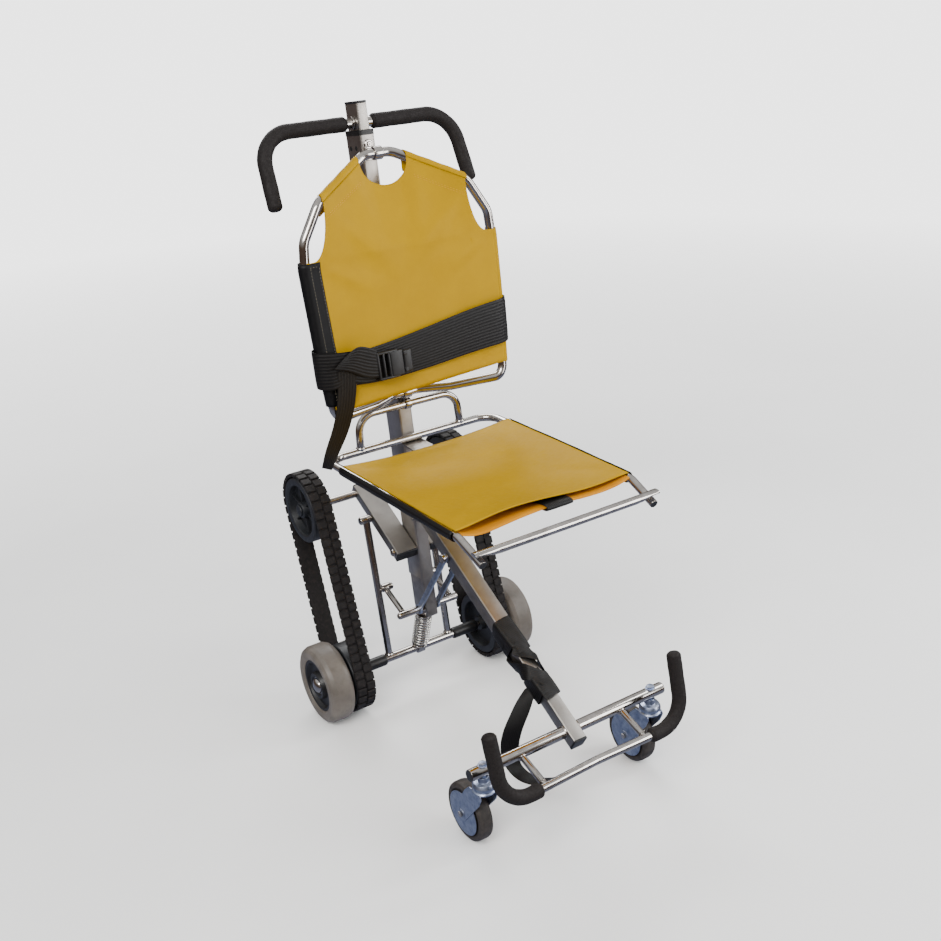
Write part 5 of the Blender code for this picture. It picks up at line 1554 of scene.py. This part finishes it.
def build_track_frame():
    """The hollow arms gripping the mast, their bolt and end caps, and the side tubes to the axle."""
    front = mm(0, -52, 370)
    along = unit(TRACK_TOP - front)
    over = np.cross(along, ACROSS)
    length = np.linalg.norm(TRACK_TOP - front)
    for side, sign in SIDES:
        x = ACROSS * sign * TRACK_ARM_X * MM
        route = [front + x, front + x + along * (length + 14 * MM)]
        arm = box_tube(TRACK_ARM_SECTION, route, over)
        make(f"track_arm_box_{side}", arm, "satin", "frame", (f"track_arm_{side}",))
        caps = [
            block(
                route[0] - along * 4.5 * MM, route[0] - along * 0.3 * MM, 50.6 * MM, 24.6 * MM, over,
                2.2 * MM, 1.5 * MM
            )
        ]
        caps.append(
            block(
                route[1] + along * 0.3 * MM, route[1] + along * 3 * MM, 50.4 * MM, 24.4 * MM, over, 2 * MM,
                1 * MM
            )
        )
        make(f"track_arm_caps_{side}", caps, "black", "frame")
        side_tube(side, sign)
    bolt_at = front + along * 13 * MM
    bolt = [tube(np.array((bolt_at - ACROSS * 70 * MM, bolt_at + ACROSS * 70 * MM)), 5 * MM)]
    for sign in (-1, 1):
        bolt.append(dome(8.5, 5.5, bolt_at + ACROSS * sign * 68 * MM, ACROSS * sign))
    make("track_arm_bolt_bar", bolt, "stainless", "frame", ("track_arm_bolt",))


def side_tube(side, sign):
    """A side tube: its round stub on the arm, the long tube to the axle and the pin that carries the lock
    arm.
    """
    top = mm(sign * SIDE_TUBE_X, 52, 426)
    down = unit(AXLE * (0, 1, 1) - top * (0, 1, 1))
    foot = AXLE * (0, 1, 1) + ACROSS * sign * SIDE_TUBE_X * MM - down * 9 * MM
    parts = [
        tube(np.array((top, foot)), SIDE_TUBE, rim=0.6 * MM),
        tube(np.array((mm(sign * 67, 52, 426), mm(sign * 97, 52, 426))), 9 * MM, rim=4 * MM),
        turned(((7.8, 0), (11.0, 0), (9.2, 3.0), (8.1, 4.6)), foot - down * 0.4 * MM, -down, soften=0.6),
    ]
    pin = LOCK_PIVOT * (0, 1, 1)
    parts.append(tube(np.array((pin + ACROSS * sign * 44 * MM, pin + ACROSS * sign * 80 * MM)), 5 * MM))
    parts.append(dome(8, 6, pin + ACROSS * sign * 47.5 * MM, -ACROSS * sign))
    make(f"side_tube_skin_{side}", parts, "stainless", "frame", (f"side_tube_{side}",))


def build_spring():
    """The compression spring, its closed end turns flat, over a guide rod between two seats."""
    top = on_mast(0, 12, 205.7)
    along = unit(AXLE - top)
    first = unit(np.cross(along, ACROSS))
    second = np.cross(along, first)
    length = np.linalg.norm(AXLE - top)
    turns = settings().spring_turns
    share = np.linspace(0, 1, turns * 26 + 1)
    pitch = np.interp(share * turns, (0, 1, turns - 1, turns), (0, 0.06, 0.94, 1))
    place = 13.5 * MM + pitch * (length - 33 * MM)
    turn = share * turns * 2 * math.pi
    coil = top + along * place[:, None] + 17.5 * MM * (
        np.cos(turn)[:, None] * first + np.sin(turn)[:, None] * second
    )
    make("spring_coil", swept(coil, circle(2.2 * MM, 14), over=along, rim=1 * MM), "spring", "frame",
         ("suspension_spring",))
    guide = [
        tube(np.array((top + along * 2 * MM, AXLE - along * 12 * MM)), 6 * MM),
        disc(17, 6.5, 10.5, top, along), disc(19, -16.5, -12.5, AXLE, along),
        turned(((9.8, -9), (14, -9), (14, 9), (9.8, 9)), AXLE * (0, 1, 1)),
    ]
    make("spring_guide_rod", guide, "stainless", "frame", ("spring_guide",))


# ---- stage ---------------------------------------------------------------------------------------
CAMERA_PLACE = (-1.1107, -2.0469, 1.5457)
CAMERA_TURN, CAMERA_DOWN, CAMERA_ROLL = (math.radians(a) for a in (-32.47, 25.32, -3.03))
CAMERA_LENS, CAMERA_SHIFT = 44.35, (-0.0111, 0.0371)
SENSOR_WIDTH = 36
FLOOR_SIZE, FLOOR_DROP = 9.0, -0.4 * MM
FADE_START, FADE_END = 1.6, 5.5
SKY_SEEN, SKY_FELT = 3.2, 1.0
SKY_STOPS = (
    (0.0, "#A3A9BE"), (0.3, "#868DA4"), (0.43, "#5F5048"), (0.53, "#665548"), (0.62, "#A09C99"),
    (0.76, "#D9DCE0"),
    (1.0, "#FFFFFF"),
)
# Name, place, point that it faces, size in metres, watts and colour.
LIGHTS = (
    ("key_softbox", (-2.4, -2.2, 3.4), (0, -0.2, 0.6), (2.2, 1.6), 150, (1.0, 0.985, 0.96)),
    ("side_strip", (2.8, -1.2, 1.9), (0, -0.2, 0.6), (0.7, 2.4), 60, (0.97, 0.985, 1.0)),
    ("back_softbox", (0.8, 2.8, 3.0), (0, 0, 0.6), (2.4, 1.4), 100, (1.0, 1.0, 1.0)),
    ("front_card", (1.5, -2.45, 1.35), (0, 0, 1.0), (0.8, 1.7), 34, (1.0, 1.0, 1.0)),
)


def camera_axes():
    """Right, up and back of a camera turned about Z, tipped down, then rolled about its line of sight."""
    turn, down, roll = CAMERA_TURN, CAMERA_DOWN, CAMERA_ROLL
    ahead = np.array((-math.sin(turn) * math.cos(down), math.cos(turn) * math.cos(down), -math.sin(down)))
    right = np.array((math.cos(turn), math.sin(turn), 0))
    up = np.cross(right, ahead)
    return (
        math.cos(roll) * right + math.sin(roll) * up, -math.sin(roll) * right + math.cos(roll) * up, -ahead
    )


def build_camera(scene):
    """The viewpoint, left of the chair's front and a little above its handle."""
    data = bpy.data.cameras.new("viewpoint")
    data.sensor_width = SENSOR_WIDTH
    data.lens = CAMERA_LENS
    data.shift_x, data.shift_y = CAMERA_SHIFT
    camera = bpy.data.objects.new("viewpoint", data)
    right, up, back = camera_axes()
    turn = np.eye(4)
    turn[:3, 0], turn[:3, 1], turn[:3, 2], turn[:3, 3] = right, up, back, CAMERA_PLACE + AXLE_OFFSET
    camera.matrix_world = Matrix(turn.tolist())
    scene.collection.objects.link(camera)
    scene.camera = camera


def area_light(scene, name, place, aim, size, energy, colour):
    """A soft rectangular light whose face looks at the aim."""
    data = bpy.data.lights.new(name, "AREA")
    data.shape = "RECTANGLE"
    data.size, data.size_y = size
    data.energy = energy
    data.color = colour
    lamp = bpy.data.objects.new(name, data)
    lamp.location = Vector(place) + Vector(AXLE_OFFSET)
    lamp.rotation_euler = (Vector(aim) - Vector(place)).to_track_quat("-Z", "Y").to_euler()
    scene.collection.objects.link(lamp)


def build_world(scene):
    """A studio sky: plain pale to the eye, and to reflections a bright ceiling over a warm dark horizon."""
    world = bpy.data.worlds.new("studio")
    world.use_nodes = True
    tree = world.node_tree
    tree.nodes.clear()
    height = add(
        tree, "ShaderNodeSeparateXYZ", {"Vector": add(tree, "ShaderNodeTexCoord").outputs["Generated"]}
    )
    ramp = add(tree, "ShaderNodeValToRGB", {"Fac": spread(tree, height.outputs["Z"], 0, 1, -1, 1)})
    for position, colour in SKY_STOPS[:-1]:
        element = ramp.color_ramp.elements.new(position)
        element.color = (*linear(colour), 1)
    ramp.color_ramp.elements[-1].color = (*linear(SKY_STOPS[-1][1]), 1)
    ramp.color_ramp.elements[0].color = (*linear(SKY_STOPS[0][1]), 1)
    seen = add(tree, "ShaderNodeBackground", {"Color": (1, 1, 1, 1), "Strength": SKY_SEEN})
    felt = add(tree, "ShaderNodeBackground", {"Color": ramp.outputs["Color"], "Strength": SKY_FELT})
    eye = add(tree, "ShaderNodeLightPath").outputs["Is Camera Ray"]
    mixed = add(tree, "ShaderNodeMixShader", {"Fac": eye})
    tree.links.new(felt.outputs[0], mixed.inputs[1])
    tree.links.new(seen.outputs[0], mixed.inputs[2])
    out = add(tree, "ShaderNodeOutputWorld")
    tree.links.new(mixed.outputs[0], out.inputs["Surface"])
    scene.world = world


def build_stage():
    """A pale floor, a studio sky, soft lights and the camera."""
    scene = bpy.context.scene
    edge = np.linspace(-FLOOR_SIZE, FLOOR_SIZE, 3)
    x, y = np.meshgrid(edge, edge)
    points, faces, _ = grid(np.stack((x, y, np.full(x.shape, FLOOR_DROP)), axis=2))
    mesh = bpy.data.meshes.new("studio_floor")
    mesh.from_pydata(points.tolist(), [], faces)
    floor = bpy.data.objects.new("studio_floor", mesh)
    paper, tree, shader = blank("studio_paper", 0.85, level=0.2)
    tone = blend_colours(tree, speckle(tree, place_of(tree), 900), linear("#F3F3F2"), linear("#FAFAF9"))
    tree.links.new(tone, shader.inputs["Base Color"])
    far = add(tree, "ShaderNodeVectorMath", {0: place_of(tree)}, operation="LENGTH").outputs["Value"]
    fade = spread(tree, far, 0, 1, FADE_START, FADE_END)
    clear = add(tree, "ShaderNodeBsdfTransparent")
    mixed = add(tree, "ShaderNodeMixShader", {"Fac": fade})
    tree.links.new(shader.outputs[0], mixed.inputs[1])
    tree.links.new(clear.outputs[0], mixed.inputs[2])
    tree.links.new(mixed.outputs[0], tree.nodes["Material Output"].inputs["Surface"])
    mesh.materials.append(paper)
    floor.visible_glossy = False
    scene.collection.objects.link(floor)
    build_world(scene)
    for light in LIGHTS:
        area_light(scene, *light)
    build_camera(scene)


# ---- add-on --------------------------------------------------------------------------------------
class StairChairSettings(bpy.types.PropertyGroup):
    """Sizes and colours of the chair's looks."""

    cloth_colour: bpy.props.FloatVectorProperty(
        name="Cloth", description="Colour of the sling cloth", subtype="COLOR", size=3, min=0, max=1,
        default=(0.43, 0.25, 0.0))
    cloth_shade: bpy.props.FloatVectorProperty(
        name="Cloth shade", description="Darker tone that wanders over the sling cloth", subtype="COLOR",
        size=3,
        min=0, max=1, default=(0.37, 0.208, 0.0))
    return_colour: bpy.props.FloatVectorProperty(
        name="Lower layer", description="Colour of the seat cloth's lower layer", subtype="COLOR", size=3,
        min=0, max=1,
        default=(0.62, 0.26, 0.008))
    tread_pitch: bpy.props.FloatProperty(
        name="Tread pitch", description="Distance from one tread block to the next", unit="LENGTH",
        min=0.01, max=0.05,
        default=0.0205)
    spring_turns: bpy.props.IntProperty(
        name="Spring turns", description="Turns of the compression spring", min=4, max=20, default=11)


BUILDERS = (
    ("stage", "Stage", build_stage), ("mast", "Mast", build_mast), ("handle", "Push handle", build_handle),
    ("back_frame", "Backrest tubes", build_back_frame), ("back_cover", "Backrest sling", build_back_cover),
    ("back_edge", "Backrest edge cloth", build_back_edge), ("lap_belt", "Lap belt", build_lap_belt),
    ("buckle", "Buckle", build_buckle), ("seat_frame", "Seat tubes", build_seat_frame),
    ("seat_sling", "Seat sling", build_seat_sling), ("leg", "Front leg and brace", build_leg),
    ("leg_strap", "Leg strap", build_leg_strap), ("foot_frame", "Foot frame", build_foot_frame),
    ("casters", "Casters", build_casters), ("rear_axle", "Rear axle and wheels", build_rear_axle),
    ("tracks", "Tracks", build_tracks), ("track_frame", "Track frame", build_track_frame),
    ("spring", "Spring", build_spring),
)


def operator_for(key, label, builder):
    """The operator class that runs one builder; the builder's docstring is its description."""

    def execute(self, context):
        builder()
        return {"FINISHED"}

    return type(f"STAIRCHAIR_OT_{key}", (bpy.types.Operator,), {
        "__doc__": builder.__doc__, "bl_idname": f"stair_chair.{key}", "bl_label": label, "execute": execute,
    })


class STAIRCHAIR_PT_panel(bpy.types.Panel):
    """Lists the chair's settings and its builders."""

    bl_label = "Stair Chair"
    bl_idname = "STAIRCHAIR_PT_panel"
    bl_space_type = "VIEW_3D"
    bl_region_type = "UI"
    bl_category = "Stair Chair"

    def draw(self, context):
        column = self.layout.column()
        for key in StairChairSettings.__annotations__:
            column.prop(context.scene.stair_chair, key)
        for key, _, _ in BUILDERS:
            column.operator(f"stair_chair.{key}")


CLASSES = [StairChairSettings, STAIRCHAIR_PT_panel] + [operator_for(*entry) for entry in BUILDERS]


def register():
    for each in CLASSES:
        bpy.utils.register_class(each)
    bpy.types.Scene.stair_chair = bpy.props.PointerProperty(type=StairChairSettings)


def unregister():
    del bpy.types.Scene.stair_chair
    for each in reversed(CLASSES):
        bpy.utils.unregister_class(each)


def main():
    register()
    for key, _, _ in BUILDERS:
        getattr(bpy.ops.stair_chair, key)()


if __name__ == "__main__":
    main()
